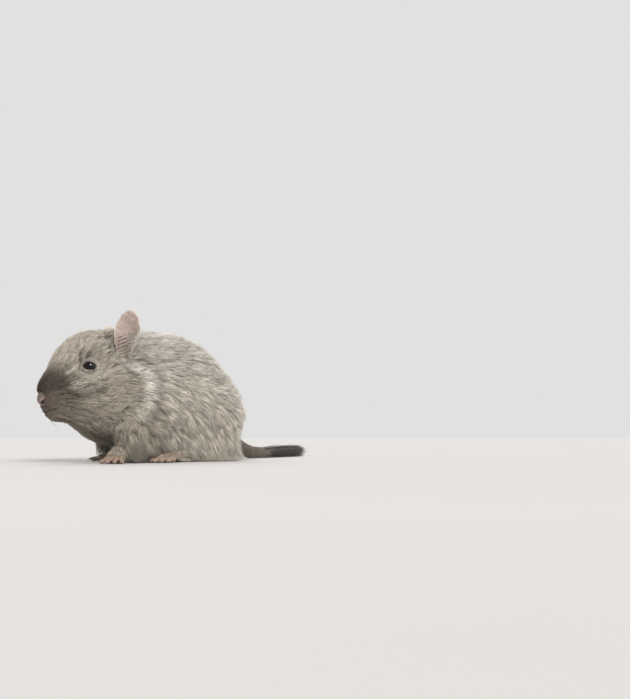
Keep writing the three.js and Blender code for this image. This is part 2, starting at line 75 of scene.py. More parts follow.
# %% [markdown]
# ## Landmarks
#
# A face is easiest to describe in its own frame: back from the nose tip, across to the animal's
# right, and up. The head is turned and tilted, so this frame is worked out from three solids
# whose places in the head are known: the two eyes and the nose pad. The same step tells how far
# the solids were shifted to stand over the origin, so that the body's places can be named too.

# %% The head's frame
EYE_IN_HEAD = Vector((23.2, 0, 1.64))
PAD_IN_HEAD = Vector((4.9, 0, -3.8))
NOSE_TIP_UNSHIFTED = Vector((-59, 16, 32))


def node_middle(node):
    low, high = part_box(node)
    return (low + high) / 2 / MM


EYES = {side: node_middle(f"eye_{name}") for name, side in SIDES.items()}
ACROSS = (EYES[1] - EYES[-1]).normalized()
to_brow = (EYES[1] + EYES[-1]) / 2 - node_middle("nose")
to_brow = (to_brow - ACROSS * to_brow.dot(ACROSS)).normalized()
rise = math.atan2(EYE_IN_HEAD.z - PAD_IN_HEAD.z, EYE_IN_HEAD.x - PAD_IN_HEAD.x)
BACK = to_brow * math.cos(rise) - to_brow.cross(ACROSS) * math.sin(rise)
UP = BACK.cross(ACROSS)
NOSE_TIP = node_middle("nose") - BACK * PAD_IN_HEAD.x - UP * PAD_IN_HEAD.z
HEAD_AXES = Matrix((BACK, ACROSS, UP)).transposed()
SHIFT = NOSE_TIP - NOSE_TIP_UNSHIFTED
print("nose tip at", [round(x, 1) for x in NOSE_TIP], "mm")


def on_head(back, across, up):
    """A point of the head's frame, in the model's frame."""
    return NOSE_TIP + HEAD_AXES @ Vector((back, across, up))


def placed(x, y, z):
    """A point of the body, given before the shift over the origin."""
    return Vector((x, y, z)) + SHIFT


def in_head(points):
    """An array of points, in the head's frame."""
    return (points - np.array(NOSE_TIP)) @ np.array(HEAD_AXES)


def in_body(points):
    return points - np.array(SHIFT)


# %% [markdown]
# ## Camera
#
# The photo was taken from just above the floor, a little ahead of the animal's left side. A
# camera is aimed by one thing it must meet: the nose has to fall on its pixel. With the camera
# level from side to side, the tilt and the turn that do this follow from two arc functions, and
# no lens shift is needed.

# %% Aim the camera
PHOTO_WIDTH, PHOTO_HEIGHT = 630, 699
FOCAL_PIXELS = 950
SENSOR = 36
VIEW_AZIMUTH, VIEW_ELEVATION = math.radians(-36), math.radians(-2.6)
VIEW_DISTANCE = 455
NOSE_PIXEL = (35, 393)


def aim_camera():
    sideways = (NOSE_PIXEL[0] - PHOTO_WIDTH / 2) / FOCAL_PIXELS
    upward = (PHOTO_HEIGHT / 2 - NOSE_PIXEL[1]) / FOCAL_PIXELS
    away = Vector((
        math.sin(VIEW_AZIMUTH) * math.cos(VIEW_ELEVATION),
        -math.cos(VIEW_AZIMUTH) * math.cos(VIEW_ELEVATION),
        math.sin(VIEW_ELEVATION),
    ))
    stretch = math.sqrt(1 + sideways**2 + upward**2)
    tilt = math.asin(-away.z * stretch / math.hypot(1, upward)) - math.atan(upward)
    ahead = Vector((0, math.cos(tilt), math.sin(tilt)))
    above = Vector((0, -math.sin(tilt), math.cos(tilt)))
    to_nose = Vector((sideways, 0, 0)) + above * upward + ahead
    turn = math.atan2(-away.y, -away.x) - math.atan2(to_nose.y, to_nose.x)
    camera = bpy.data.objects.new("camera", bpy.data.cameras.new("camera"))
    camera.data.sensor_width = SENSOR
    camera.data.lens = FOCAL_PIXELS / PHOTO_HEIGHT * SENSOR
    camera.data.clip_start = 0.01
    axes = Matrix((Vector((1, 0, 0)), above, -ahead)).transposed().to_4x4()
    place = Matrix.Translation((NOSE_TIP + away * VIEW_DISTANCE) * MM)
    camera.matrix_world = place @ Matrix.Rotation(turn, 4, "Z") @ axes
    bpy.context.scene.collection.objects.link(camera)
    bpy.context.scene.camera = camera
    return camera


camera = aim_camera()
print("camera stands", round(camera.location.z / MM, 1), "mm above the floor")

# %% [markdown]
# ## Shader maths as Python
#
# A node tree is a formula drawn as boxes. `Socket` wraps one output and overloads the operators,
# so `1 - mask * 0.4` adds its Math nodes by itself. Any other node comes from `Finish.node`, which
# takes the node's type, its settings, and the values or links of its inputs.

# %% Socket and Finish
class Socket:
    def __init__(self, finish, output):
        self.finish, self.output = finish, output

    def maths(self, operation, first, second):
        return self.finish.node("Math", {"operation": operation}, {0: first, 1: second})

    def __add__(self, other):
        return self.maths("ADD", self, other)

    def __sub__(self, other):
        return self.maths("SUBTRACT", self, other)

    def __rsub__(self, other):
        return self.maths("SUBTRACT", other, self)

    def __mul__(self, other):
        return self.maths("MULTIPLY", self, other)

    def __gt__(self, other):
        return self.maths("GREATER_THAN", self, other)

    __radd__, __rmul__ = __add__, __mul__


class Finish:
    """A material with one Principled shader."""

    def __init__(self, name, **constants):
        self.material = bpy.data.materials.new(name)
        self.material.use_nodes = True
        self.tree = self.material.node_tree
        self.shader = self.tree.nodes["Principled BSDF"]
        for socket, value in constants.items():
            self.shader.inputs[socket.replace("_", " ")].default_value = value

    def node(self, kind, settings=None, values=None, output=0):
        made = self.tree.nodes.new("ShaderNode" + kind)
        for name, value in (settings or {}).items():
            setattr(made, name, value)
        for socket, value in (values or {}).items():
            self.give(made.inputs[socket], value)
        return Socket(self, made.outputs[output])

    def give(self, socket, value):
        if isinstance(value, Socket):
            self.tree.links.new(value.output, socket)
        else:
            socket.default_value = value

    def set(self, **values):
        for socket, value in values.items():
            self.give(self.shader.inputs[socket.replace("_", " ")], value)

    def place(self):
        return self.node("TexCoord", output="Object")

    def noise(self, size_mm, detail=2.0, roughness=0.5):
        """Blotches of about this size, from 0 to 1."""
        scale = 1 / (size_mm * MM)
        values = {"Vector": self.place(), "Scale": scale, "Detail": detail, "Roughness": roughness}
        return self.node("TexNoise", None, values, "Fac")

    def mix(self, share, first, second, how="MIX"):
        settings = {"data_type": "RGBA", "blend_type": how}
        return self.node("Mix", settings, {0: share, 6: first, 7: second}, 2)

    def bump(self, height, depth_mm, strength=1.0):
        values = {"Height": height, "Distance": depth_mm * MM, "Strength": strength}
        self.set(Normal=self.node("Bump", None, values))


def linear(red, green, blue):
    """A screen colour from 0 to 255, as the linear values that nodes hold."""
    parts = np.array([red, green, blue]) / 255
    return np.where(parts <= 0.04045, parts / 12.92, ((parts + 0.055) / 1.055) ** 2.4)


def rgba(red, green, blue):
    return (*linear(red, green, blue), 1.0)


# %% [markdown]
# ## Floor and light
#
# A museum model is shown on a plain pale ground in soft light. The floor is one wide disc, and the
# sky above it is as pale as the floor, so that hardly a horizon shows. Area lamps would leave the
# far floor dark, so the light comes from three wide, distant suns: one on the side that the camera
# sees does the modelling, a second fills the shadows, and a third behind lights the coat's edge.

# %% Stage
FLOOR_RADIUS = 60.0
SKY = (0.97, 0.966, 0.965)
SKY_STRENGTH = 0.78


def mesh_object(name, form, smooth=True):
    """Turns a finished bmesh into an object whose place is in its mesh."""
    mesh = bpy.data.meshes.new(name)
    form.to_mesh(mesh)
    form.free()
    mesh.polygons.foreach_set("use_smooth", [smooth] * len(mesh.polygons))
    made = bpy.data.objects.new(name, mesh)
    bpy.context.scene.collection.objects.link(made)
    return made


def sun(name, comes_from, strength, spread, tint):
    """A distant lamp, seen under this many degrees."""
    light = bpy.data.objects.new(name, bpy.data.lights.new(name, "SUN"))
    light.data.energy = strength
    light.data.angle = math.radians(spread)
    light.data.color = tint
    light.rotation_euler = Vector(comes_from).to_track_quat("Z", "Y").to_euler()
    bpy.context.scene.collection.objects.link(light)


def light_studio():
    world = bpy.data.worlds.new("studio")
    world.use_nodes = True
    sky = world.node_tree.nodes["Background"].inputs
    sky["Color"].default_value = (*SKY, 1)
    sky["Strength"].default_value = SKY_STRENGTH
    bpy.context.scene.world = world
    bpy.context.scene.view_settings.view_transform = "Standard"
    sun("key_sun", (-0.5, -1.0, 0.8), 2.6, 24, (1.0, 0.975, 0.94))
    sun("fill_sun", (0.9, -1.4, 0.12), 0.95, 60, (0.97, 0.98, 1.0))
    sun("rim_sun", (0.6, 1.2, 1.5), 0.9, 40, (0.98, 0.985, 1.0))


disc = bmesh.new()
bmesh.ops.create_circle(disc, cap_ends=True, segments=96, radius=FLOOR_RADIUS)
floor = mesh_object("floor", disc, smooth=False)
floor_finish = Finish("floor_paper", Roughness=0.9)
grain = floor_finish.noise(90, 4.0)
floor_finish.set(Base_Color=floor_finish.mix(grain, rgba(188, 186, 183), rgba(193, 191, 188)))
floor.data.materials.append(floor_finish.material)
light_studio()
print("stage: one floor", round(2 * FLOOR_RADIUS), "m across, three suns")

# %% [markdown]
# ## Markings
#
# The coat is a pale warm grey. It is darkest on the bridge of the muzzle and round the nose,
# sandier on the cheeks, pale round the eye, in a band behind the cheek and under the belly. Each
# marking is a soft mask: an ellipsoid in the head's or the body's frame that fades at its edge.
# Skin and tufts ask the same function for their colour, so both carry the same markings. Some
# masks paint light and shade instead: painted shade under the chest, in the creases of the
# forelegs' fur, about the root of each ear, over the eyes and behind the cheek's ruff, and
# painted light on the crest of that ruff.

# %% Colours and masks
COLOURS = {
    "back": (209, 203, 193),
    "flank": (226, 218, 205),
    "belly": (230, 222, 208),
    "rump": (241, 233, 221),
    # Painted shade, under the chest and in the creases of the forelegs' fur.
    "chest_shade": (134, 121, 108),
    "brow": (186, 177, 163),
    "cheek": (178, 169, 154),
    "bridge": (66, 57, 48),
    "muzzle": (110, 97, 84),
    "nose_side": (126, 109, 100),
    "chin": (168, 157, 143),
    "eye_ring": (212, 205, 192),
    "ear_shadow": (92, 80, 69),
    "pale_band_and_crest_light": (245, 240, 230),
    "nape_shade": (176, 167, 156),
    "foot": (178, 160, 143),
    "mouth": (74, 60, 54),
    "tail": (120, 108, 98),
    "brush": (52, 46, 42),
}


def smooth_step(value, low, high):
    share = np.clip((value - low) / (high - low), 0, 1)
    return share * share * (3 - 2 * share)


def soft(distance, edge=0.35):
    """1 inside a mask whose border lies at distance 1, and 0 outside."""
    share = np.clip((1 + edge - distance) / (2 * edge), 0, 1)
    return share * share * (3 - 2 * share)


def ball_mask(points, centre, radii, edge=0.35):
    return soft(np.linalg.norm((points - np.array(centre)) / np.array(radii), axis=1), edge)


def both_sides(points, centre, radii, edge=0.35):
    folded = points * np.array([1, 0, 1]) + np.abs(points) * np.array([0, 1, 0])
    return ball_mask(folded, centre, radii, edge)


def stroke(points, line, width):
    """1 along a line drawn on the side of the face, by its places back and up, and 0 beside it."""
    away = np.full(len(points), 99.0)
    flat = points[:, [0, 2]]
    for start, end in zip(line, line[1:]):
        run = np.array(end) - np.array(start)
        along = np.clip((flat - np.array(start)) @ run / (run @ run), 0, 1)
        away = np.minimum(away, np.linalg.norm(flat - np.array(start) - along[:, None] * run, axis=1))
    return (1 - smooth_step(away, 0.25 * width, width)) * (np.abs(points[:, 1]) > 6)


def crease(points, line, width=2.0):
    """1 along a line through three dimensions, and 0 away from it."""
    away = np.full(len(points), 99.0)
    for start, end in zip(line, line[1:]):
        run = np.array(end) - np.array(start)
        along = np.clip((points - np.array(start)) @ run / (run @ run), 0, 1)
        away = np.minimum(away, np.linalg.norm(points - np.array(start) - along[:, None] * run, axis=1))
    return 1 - smooth_step(away, 0.25 * width, width)


def clouds(points, size, seed):
    """A smooth blotchy field about 0, summed from plane waves of random headings."""
    random = np.random.default_rng(seed)
    total = np.zeros(len(points))
    for _ in range(12):
        heading = random.normal(size=3)
        heading *= math.tau / (size * random.uniform(0.7, 1.6)) / np.linalg.norm(heading)
        total += np.sin(points @ heading + random.uniform(0, math.tau))
    return total / 3.5


def mouth_line(back):
    """The height of the mouth in the head's frame, which drops towards its corners."""
    return -10 - 0.028 * np.maximum(back, 0) ** 2


# Creases in the fur of the forelegs, in the body's frame, that take painted shade. Then lines on
# the side of the face, as places back and up: the edge of the cheek's ruff, which takes painted
# light on its crest, the painted shade behind it, a pale streak under the eye, and dark streaks
# with their width and strength.
ARM_CREASE_SHADE = [[(-36.4, -11.3, 14.6), (-37.4, -16.5, 16.2), (-37.2, -21.2, 16.3)],
               [(-36.8, -20.5, 13.6), (-35.4, -23.6, 14.4), (-32.5, -24.6, 12.6)],
               [(-33, -23.6, 11), (-30.6, -24.4, 11.6), (-28, -24, 9.6)]]
RUFF_LINE = [(38.5, -2), (40.8, -4), (42, -8), (41.6, -13), (40.2, -17.5), (37.6, -21.5), (34, -25)]
NAPE_LINE = [(45.6, -3), (47, -9), (46.4, -15), (44.6, -20), (41, -25)]
LID_STREAK = [(13, 2.2), (17, 2.2), (19.5, -1.4), (23.5, -3.1), (28, -3.2)]
DARK_STROKES = [
    # Painted shade in front of the ear's root.
    ([(34.6, 14.5), (33.4, 9), (32.6, 5), (30.6, 1.5)], 1.5, 0.75),
    ([(36.6, 10), (36.2, 5)], 1.2, 0.6),
    # Painted shade beneath the ear.
    ([(32.4, -1), (35, -3.4), (37, -6)], 1.1, 0.6),
    ([(36.8, -1.6), (39, -3.6)], 0.9, 0.5),
    # Dark marks over the eye, with painted shade under the brow.
    ([(19.4, 4), (20.4, 6.6), (21.8, 8.4)], 0.9, 0.85),
    ([(22.4, 5.4), (24.4, 7.4)], 0.9, 0.8),
    # Dark lines under and behind the eye and along the cheek.
    ([(14, 0.4), (17.5, -1.9), (21, -4.8), (24, -6.4)], 0.7, 0.5),
    ([(10, -5.2), (14, -8.6), (18, -9.8), (23, -9.6)], 1.1, 0.6),
    ([(27.2, -1.5), (30, -2.4)], 0.8, 0.35),
]


def coat_colour(points, normals):
    """The coat's linear colour at points in millimetres."""
    head, body = in_head(points), in_body(points)
    colour = np.tile(linear(*COLOURS["flank"]), (len(points), 1))

    def paint(name, mask):
        colour[:] += (linear(*COLOURS[name]) - colour) * mask[:, None]

    paint("back", smooth_step(normals[:, 2], -0.1, 0.7))
    paint("belly", smooth_step(-normals[:, 2], 0.1, 0.7))
    paint("rump", smooth_step(body[:, 0], 12, 32) * 0.8)
    paint("cheek", ball_mask(body, (-34, -20, 12), (10, 10, 10), 0.5) * 0.7)
    paint("cheek", ball_mask(body, (-6, 14, 12), (10, 10, 10), 0.5) * 0.7)
    # Painted shade in the creases of the forelegs' fur.
    for line in ARM_CREASE_SHADE:
        paint("chest_shade", crease(body, line) * 0.72)
    on_face = smooth_step(-head[:, 0], -50, -38)
    lips = np.exp(-(((head[:, 2] - mouth_line(head[:, 0])) / 0.3) ** 2)) * 0.3
    paint("brow", on_face)
    paint("cheek", on_face * smooth_step(-head[:, 2], -4, 8))
    # A pale band along the edge of the cheek's ruff, with painted light on its crest.
    paint("pale_band_and_crest_light", stroke(head, RUFF_LINE, 2.9) * (1 - 0.5 * smooth_step(-head[:, 2], 14, 22)))
    paint("nape_shade", stroke(head, NAPE_LINE, 3.2) * 0.6)
    paint("chin", both_sides(head, (12, 0, -17), (14, 14, 7), 0.5) * 0.75)
    paint("muzzle", both_sides(head, (5, 0, -4), (15, 14, 9.4), 0.7) * 0.85)
    paint("bridge", both_sides(head, (7, 0, 1), (9.5, 13, 7), 0.6) * 0.97)
    paint("nose_side", both_sides(head, (2.6, 5.6, -6.6), (3.6, 4.2, 4.2), 0.5) * 0.8)
    # Painted shade over the eye, under the brow.
    paint("ear_shadow", both_sides(head, (23, 17, 4.6), (5, 5, 2.4), 0.6) * 0.18)
    paint("eye_ring", both_sides(head, (19.5, 14.5, -3.4), (8, 8, 2.8), 0.6) * 0.7)
    # Dark streaks: painted shade by the ear and over the eye, and dark lines about the eye and cheek.
    for line, width, share in DARK_STROKES:
        paint("ear_shadow", stroke(head, line, width) * share)
    paint("eye_ring", stroke(head, LID_STREAK, 1.2) * 0.9)
    paint("mouth", lips * (1 - smooth_step(head[:, 0], 3, 7)))
    # Painted shade under the chest.
    paint("chest_shade", ball_mask(body, (-42, -4, 8), (13, 16, 9), 0.5) * 0.8)
    lower = smooth_step(-body[:, 2], -8, -3) * (body[:, 0] < 34)
    paint("foot", lower)
    on_tail = smooth_step(body[:, 0], 52, 62)
    paint("tail", on_tail)
    paint("brush", smooth_step(body[:, 0], 92, 104))
    blotches = clouds(points, 16, 3) * 0.045 + clouds(points, 5, 4) * 0.04
    return np.clip(colour * (1 + blotches[:, None]), 0, 1)


print("markings:", ", ".join(COLOURS))

# %% [markdown]
# ## The skin
#
# The solids of the flesh meet across thin gaps. A voxel remesh of all of them together gives one
# closed surface with no seam: each solid is first swollen a little so that the gaps close, and
# the facets are smoothed away afterwards. The skin then sinks below the solids by the depth of
# the coat, which is deep on the back and thin on the muzzle.

# %% Helpers for tubes and remeshing
VOXEL = 0.7


def tube(form, path, radii, sides=12):
    """A closed tapering tube along points in millimetres, made by extruding a ring."""
    ahead = (path[1] - path[0]).normalized()
    turn = ahead.to_track_quat("Z", "Y")
    ring = bmesh.ops.create_circle(form, cap_ends=True, segments=sides, radius=radii[0])["verts"]
    for corner in ring:
        corner.co = path[0] + turn @ corner.co
    first_face = ring[0].link_faces[0]
    edges = list(first_face.edges)
    for step in range(1, len(path)):
        grown = bmesh.ops.extrude_edge_only(form, edges=edges)["geom"]
        edges = [g for g in grown if isinstance(g, bmesh.types.BMEdge)]
        corners = [g for g in grown if isinstance(g, bmesh.types.BMVert)]
        before = (path[step] - path[step - 1]).normalized()
        after = (path[min(step + 1, len(path) - 1)] - path[step]) or before
        along = (before + after.normalized()).normalized()
        bend = ahead.rotation_difference(along)
        ahead = along
        for corner in corners:
            arm = bend @ (corner.co - path[step - 1])
            corner.co = path[step] + arm * (radii[step] / radii[step - 1])
    bmesh.ops.contextual_create(form, geom=edges)
    bmesh.ops.recalc_face_normals(form, faces=form.faces)


def smooth_path(points, count):
    """Points on a Catmull-Rom curve through the given ones."""
    ends = [points[0] * 2 - points[1], *points, points[-1] * 2 - points[-2]]
    found = []
    for i in range(count):
        at = i / (count - 1) * (len(points) - 1)
        piece = min(int(at), len(points) - 2)
        t = at - piece
        a, b, c, d = ends[piece : piece + 4]
        found.append(
            (b * 2 + (c - a) * t + (a * 2 - b * 5 + c * 4 - d) * t**2 + (b * 3 - a - c * 3 + d) * t**3) / 2
        )
    return found


def remeshed(made, voxel_mm, smoothings):
    """Fuses the object's shells into one even surface."""
    fuse = made.modifiers.new("fuse", "REMESH")
    fuse.mode = "VOXEL"
    fuse.voxel_size = voxel_mm * MM
    relax = made.modifiers.new("relax", "SMOOTH")
    relax.factor = 0.5
    relax.iterations = smoothings
    apply_modifiers(made)
    return made


def apply_modifiers(made):
    graph = bpy.context.evaluated_depsgraph_get()
    fresh = bpy.data.meshes.new_from_object(made.evaluated_get(graph))
    made.modifiers.clear()
    old, made.data = made.data, fresh
    bpy.data.meshes.remove(old)
    fresh.name = made.name
    fresh.polygons.foreach_set("use_smooth", [True] * len(fresh.polygons))


def corners_of(mesh):
    """The mesh's vertices and their normals, in millimetres, as arrays."""
    places, normals = np.empty(len(mesh.vertices) * 3), np.empty(len(mesh.vertices) * 3)
    mesh.vertices.foreach_get("co", places)
    mesh.vertices.foreach_get("normal", normals)
    return places.reshape(-1, 3) / MM, normals.reshape(-1, 3)


def move_corners(mesh, places):
    mesh.vertices.foreach_set("co", (places * MM).ravel())
    mesh.update()


# %% The depth of the coat
WRIST = {-1: (-38.5, -18, 5.2), 1: (-10, 8.5, 5.2)}
TAIL_PATH = [(38, 0, 19), (50, 0.5, 14.5), (62, 2, 8), (76, 5, 3.9), (92, 9.5, 3), (110, 14.5, 2.8),
             (128, 17, 2.9)]


def coat_measures(points, normals):
    """Depth, tuft length, tuft width and tufts per square millimetre over the body."""
    head, body = in_head(points), in_body(points)
    back = head[:, 0]
    steps = [-4, 5, 11, 18, 30, 44, 60]
    depth = np.interp(back, steps, [0.3, 0.4, 0.7, 1.1, 1.8, 2.6, 3.1])
    length = np.interp(back, steps, [1.0, 1.6, 2.6, 3.8, 5.4, 7.6, 9.4])
    width = np.interp(back, steps, [0.12, 0.14, 0.17, 0.19, 0.21, 0.24, 0.26])
    density = np.interp(back, steps, [15, 14, 12, 10.5, 8.4, 6.4, 5.6])
    near_eye = both_sides(head, (23.2, 17, 1), (6, 6, 5.6), 0.5)
    belly = smooth_step(-normals[:, 2], 0.55, 0.9) * smooth_step(-body[:, 2], -16, -8)
    wrists = sum(ball_mask(body, WRIST[side], (8, 7, 7), 0.4) for side in SIDES.values())
    tail = smooth_step(body[:, 0], 46, 56)
    for mask, values in ((belly, (1.2, 5.0, 0.28, 5.0)), (wrists, (1.0, 7.0, 0.22, 9.0)),
                         (near_eye, (0.3, 1.5, 0.13, 14)), (tail, (0.35, 2.4, 0.19, 7.5))):
        for array, value in zip((depth, length, width, density), values):
            array += (value - array) * mask
    return depth, length, width, density


# %% Fuse, smooth and sink the skin
FLESH = ["head", "neck", "torso", "thigh_left", "thigh_right", "foreleg_left", "foreleg_right",
         "tail_base", "tail_middle"]
SWELL = 0.22


def fused_flesh():
    whole = bmesh.new()
    for name in FLESH:
        part = bmesh.new()
        part.from_mesh(frame["nodes"][name].data)
        bmesh.ops.remove_doubles(part, verts=part.verts, dist=0.01 * MM)
        part.normal_update()
        for corner in part.verts:
            corner.co += corner.normal * SWELL * MM
        copy = bpy.data.meshes.new("swollen")
        part.to_mesh(copy)
        part.free()
        whole.from_mesh(copy)
        bpy.data.meshes.remove(copy)
    end = bmesh.new()
    tail = smooth_path([placed(*p) for p in TAIL_PATH], 60)
    tube(end, tail[34:], list(np.linspace(2.9, 1.3, 26)), 16)
    bmesh.ops.scale(end, vec=(MM, MM, MM), verts=end.verts)
    copy = bpy.data.meshes.new("tail_end")
    end.to_mesh(copy)
    end.free()
    whole.from_mesh(copy)
    bpy.data.meshes.remove(copy)
    return remeshed(mesh_object("skin", whole), VOXEL, 9)


skin = fused_flesh()
places, normals = corners_of(skin.data)
depths = coat_measures(places, normals)[0]
places -= normals * (depths + SWELL)[:, None]
move_corners(skin.data, places)
print("skin:", len(skin.data.polygons), "faces, coat up to", round(float(depths.max()), 1), "mm deep")

# %% [markdown]
# ## Lips
#
# The remesh is too coarse for the line of the mouth, so the faces along it are divided twice more.
# Then the corners near the line are moved: in along it, and out to either side where the lips
# roll. A cleft runs from the nose down to the upper lip.

# %% Divide the mouth and roll the lips
MOUTH_REACH = 15.0
LIP_HEIGHT, LIP_APART, LINE_DEPTH = 0.18, 1.0, 0.22
PAD_RADII = (5.0, 5.3, 4.2)


def divide_mouth(made):
    form = bmesh.new()
    form.from_mesh(made.data)
    for reach in (3.2, 2.4):
        head = in_head(np.array([corner.co for corner in form.verts]) / MM)
        above = head[:, 2] - mouth_line(head[:, 0])
        near = (head[:, 0] < MOUTH_REACH) & (above > -reach) & (above < reach + 2.5)
        edges = [edge for edge in form.edges if all(near[corner.index] for corner in edge.verts)]
        bmesh.ops.subdivide_edges(form, edges=edges, cuts=1, use_grid_fill=True)
        form.verts.index_update()
    bmesh.ops.triangulate(form, faces=[face for face in form.faces if len(face.verts) > 4])
    form.to_mesh(made.data)
    form.free()
    made.data.polygons.foreach_set("use_smooth", [True] * len(made.data.polygons))


def roll_lips(made):
    places, normals = corners_of(made.data)
    head = in_head(places)
    fade = 1 - smooth_step(head[:, 0], 3, 8)
    above = head[:, 2] - mouth_line(head[:, 0])
    rolls = np.exp(-(((np.abs(above) - LIP_APART) / 0.65) ** 2)) * LIP_HEIGHT
    line = np.exp(-((above / 0.32) ** 2)) * LINE_DEPTH
    in_cleft = (above > 0) & (above < 4.5) & (head[:, 0] < 6)
    cleft = np.exp(-((head[:, 1] / 0.35) ** 2)) * 0.55 * in_cleft
    move_corners(made.data, places + normals * ((rolls - line - cleft) * fade)[:, None])


def meet_pad(made):
    """Lays the skin round the nose pad on the pad's own surface, so that no gap is left."""
    places, _ = corners_of(made.data)
    head = in_head(places)
    offset = (head - np.array(PAD_IN_HEAD)) / PAD_RADII
    far = np.linalg.norm(offset, axis=1)
    pull = 1 - smooth_step(far, 1.08, 1.35)
    wanted = np.array(PAD_IN_HEAD) + offset / far[:, None] * np.array(PAD_RADII) * 0.985
    head = head + (wanted - head) * pull[:, None]
    move_corners(made.data, head @ np.array(HEAD_AXES).T + np.array(NOSE_TIP))


divide_mouth(skin)
roll_lips(skin)
meet_pad(skin)
print("mouth divided:", len(skin.data.polygons), "faces in the skin")

# %% [markdown]
# ## The skin's map and finish
#
# A baked picture of the coat needs a place for each tuft. The skin is unwrapped by its own shape,
# and each tuft later takes a tiny patch of that map at its root. The skin itself shows only
# between tufts, so it is a matt material in the coat's own colours, a shade darker for the darker
# underfur and for painted shade deep in the coat, with the fine grain of short underfur as bump.

# %% Unwrap and colour
UNWRAP_ANGLE = 66
UNDERFUR_SHADE = 0.72


def unwrap(made):
    bpy.context.view_layer.objects.active = made
    made.select_set(True)
    bpy.ops.object.mode_set(mode="EDIT")
    bpy.ops.mesh.select_all(action="SELECT")
    bpy.ops.uv.smart_project(angle_limit=math.radians(UNWRAP_ANGLE), island_margin=0.004)
    bpy.ops.object.mode_set(mode="OBJECT")
    made.select_set(False)
    made.data.uv_layers[0].name = "OFBake"


def give_colours(mesh, colours, name="coat_colour"):
    layer = mesh.attributes.new(name, "FLOAT_COLOR", "POINT")
    layer.data.foreach_set("color", np.c_[colours, np.ones(len(colours))].ravel())


def fur_finish(name, roughness, sheen):
    finish = Finish(name, Roughness=roughness, Sheen_Weight=sheen, Sheen_Roughness=0.4,
                    Specular_IOR_Level=0.3)
    markings = finish.node("Attribute", {"attribute_name": "coat_colour"}, output="Color")
    finish.set(Base_Color=markings)
    return finish


unwrap(skin)
skin_finish = fur_finish("underfur", 0.9, 0.1)
strands = skin_finish.noise(0.32, 2.0)
markings = skin_finish.node("Attribute", {"attribute_name": "coat_colour"}, output="Color")
skin_finish.set(Base_Color=skin_finish.mix(1.0, markings, strands * 1.5 + 0.2, "MULTIPLY"))
skin_finish.bump(strands, 0.4, 0.9)
skin.data.materials.append(skin_finish.material)
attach(skin, BODY)
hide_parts(*FLESH)
print("skin mapped over", len(skin.data.loops), "face corners")

# %% [markdown]
# ## The lie of the coat
#
# Hair grows away from the nose over the face, back along the neck and trunk, down the flanks and
# along each limb and the tail. A few guides are enough: each has a place, a reach and a heading,
# and a hair takes the mean of the guides near it, laid flat on the skin.

# %% Guides for the hair
ELBOW = {-1: (-30, -18.5, 15.5), 1: (-1, 14, 15)}
HANG = (0.2, 0.3, -0.93)


def heading_of_hair(points, normals):
    head, body = in_head(points), in_body(points)
    from_nose = points - np.array(on_head(3, 0, -5))
    from_nose /= np.linalg.norm(from_nose, axis=1)[:, None] + 1e-9
    droop = smooth_step(-normals[:, 2], -0.9, 0.3)
    along_body = np.stack([np.ones(len(points)), np.zeros(len(points)), -0.15 - 0.6 * droop], 1)
    share = smooth_step(head[:, 0], 30, 56)[:, None]
    flow = from_nose * (1 - share) + along_body * share
    for side in SIDES.values():
        eye = points - np.array(EYES[side])
        far = np.linalg.norm(eye, axis=1)
        flow += eye / far[:, None] * (np.exp(-((far / 6.5) ** 4)) * 1.2)[:, None]
        elbow, wrist = np.array(ELBOW[side]), np.array(WRIST[side])
        limb = (wrist - elbow) / np.linalg.norm(wrist - elbow)
        near = soft(np.linalg.norm((body - (elbow * 0.4 + wrist * 0.6)) / (11, 9, 11), axis=1), 0.5)
        flow += (limb - flow) * near[:, None]
    haunch = both_sides(body, (16, 26, 18), (17, 13, 15), 0.5)
    flow += np.array([0.1, 0, -0.55]) * haunch[:, None]
    waves = np.stack([clouds(points, 14, 21 + i) for i in range(3)], 1)
    flow += waves * 0.14
    flow -= normals * np.sum(flow * normals, axis=1)[:, None]
    return flow / (np.linalg.norm(flow, axis=1)[:, None] + 1e-9)


# %% [markdown]
# ## Growing tufts
#
# A hair system would look right here but not outlive an export, so the coat is real mesh: each
# tuft is a closed blade of three edges with one bend, ten triangles in all. Roots are spread over
# the skin's triangles, and every blade is bent along the surface under it. Blades near one
# another lean together towards their tips, which gives the coat its locks, and every blade is a
# little lighter or darker than its neighbour. Blades at the edge of a lock are painted darker,
# as painted shade in the creases between locks.

# %% Hair that hangs
def hanging(points, normals):
    """How far a hair hangs free: along the foot of the flanks, and behind the elbows."""
    body = in_body(points)
    low = smooth_step(-body[:, 2], -20, -11)
    outer = smooth_step(np.abs(normals[:, 1]), 0.15, 0.5)
    flank = low * outer * smooth_step(body[:, 0], -27, -20) * (1 - smooth_step(body[:, 0], 38, 44))
    arms = sum(ball_mask(body, np.array(ELBOW[side]) * 0.4 + np.array(WRIST[side]) * 0.6, (12, 10, 9), 0.5)
               for side in SIDES.values())
    return np.clip(flank + arms * (0.4 + 0.6 * outer), 0, 1)


# %% The tuft maker
PATCH = 0.003
SUNK = 0.3
FLOOR_CLEARANCE = 0.35
PIECE_LIMIT = 195000


def blade_faces(rings):
    """The triangles of a closed blade with this many rings of three corners and a tip."""
    faces = [(2, 1, 0)]
    for ring in range(rings):
        for side in range(3):
            a, b = ring * 3 + side, ring * 3 + (side + 1) % 3
            faces += [(a, b, b + 3), (a, b + 3, a + 3)] if ring < rings - 1 else [(a, b, rings * 3)]
    return np.array(faces)


def blade_patch(rings):
    """The blade's corners on its own small patch of the map."""
    spots = [(ring / rings, aside) for ring in range(rings) for aside in (0, 1, 0.5)]
    return np.array([*spots, (1, 0.5)]) - 0.5


def tree_of(points):
    tree = kdtree.KDTree(len(points))
    for i, point in enumerate(points):
        tree.insert(point, i)
    tree.balance()
    return tree


def nearest(tree, points):
    return np.array([tree.find(point)[1] for point in points])


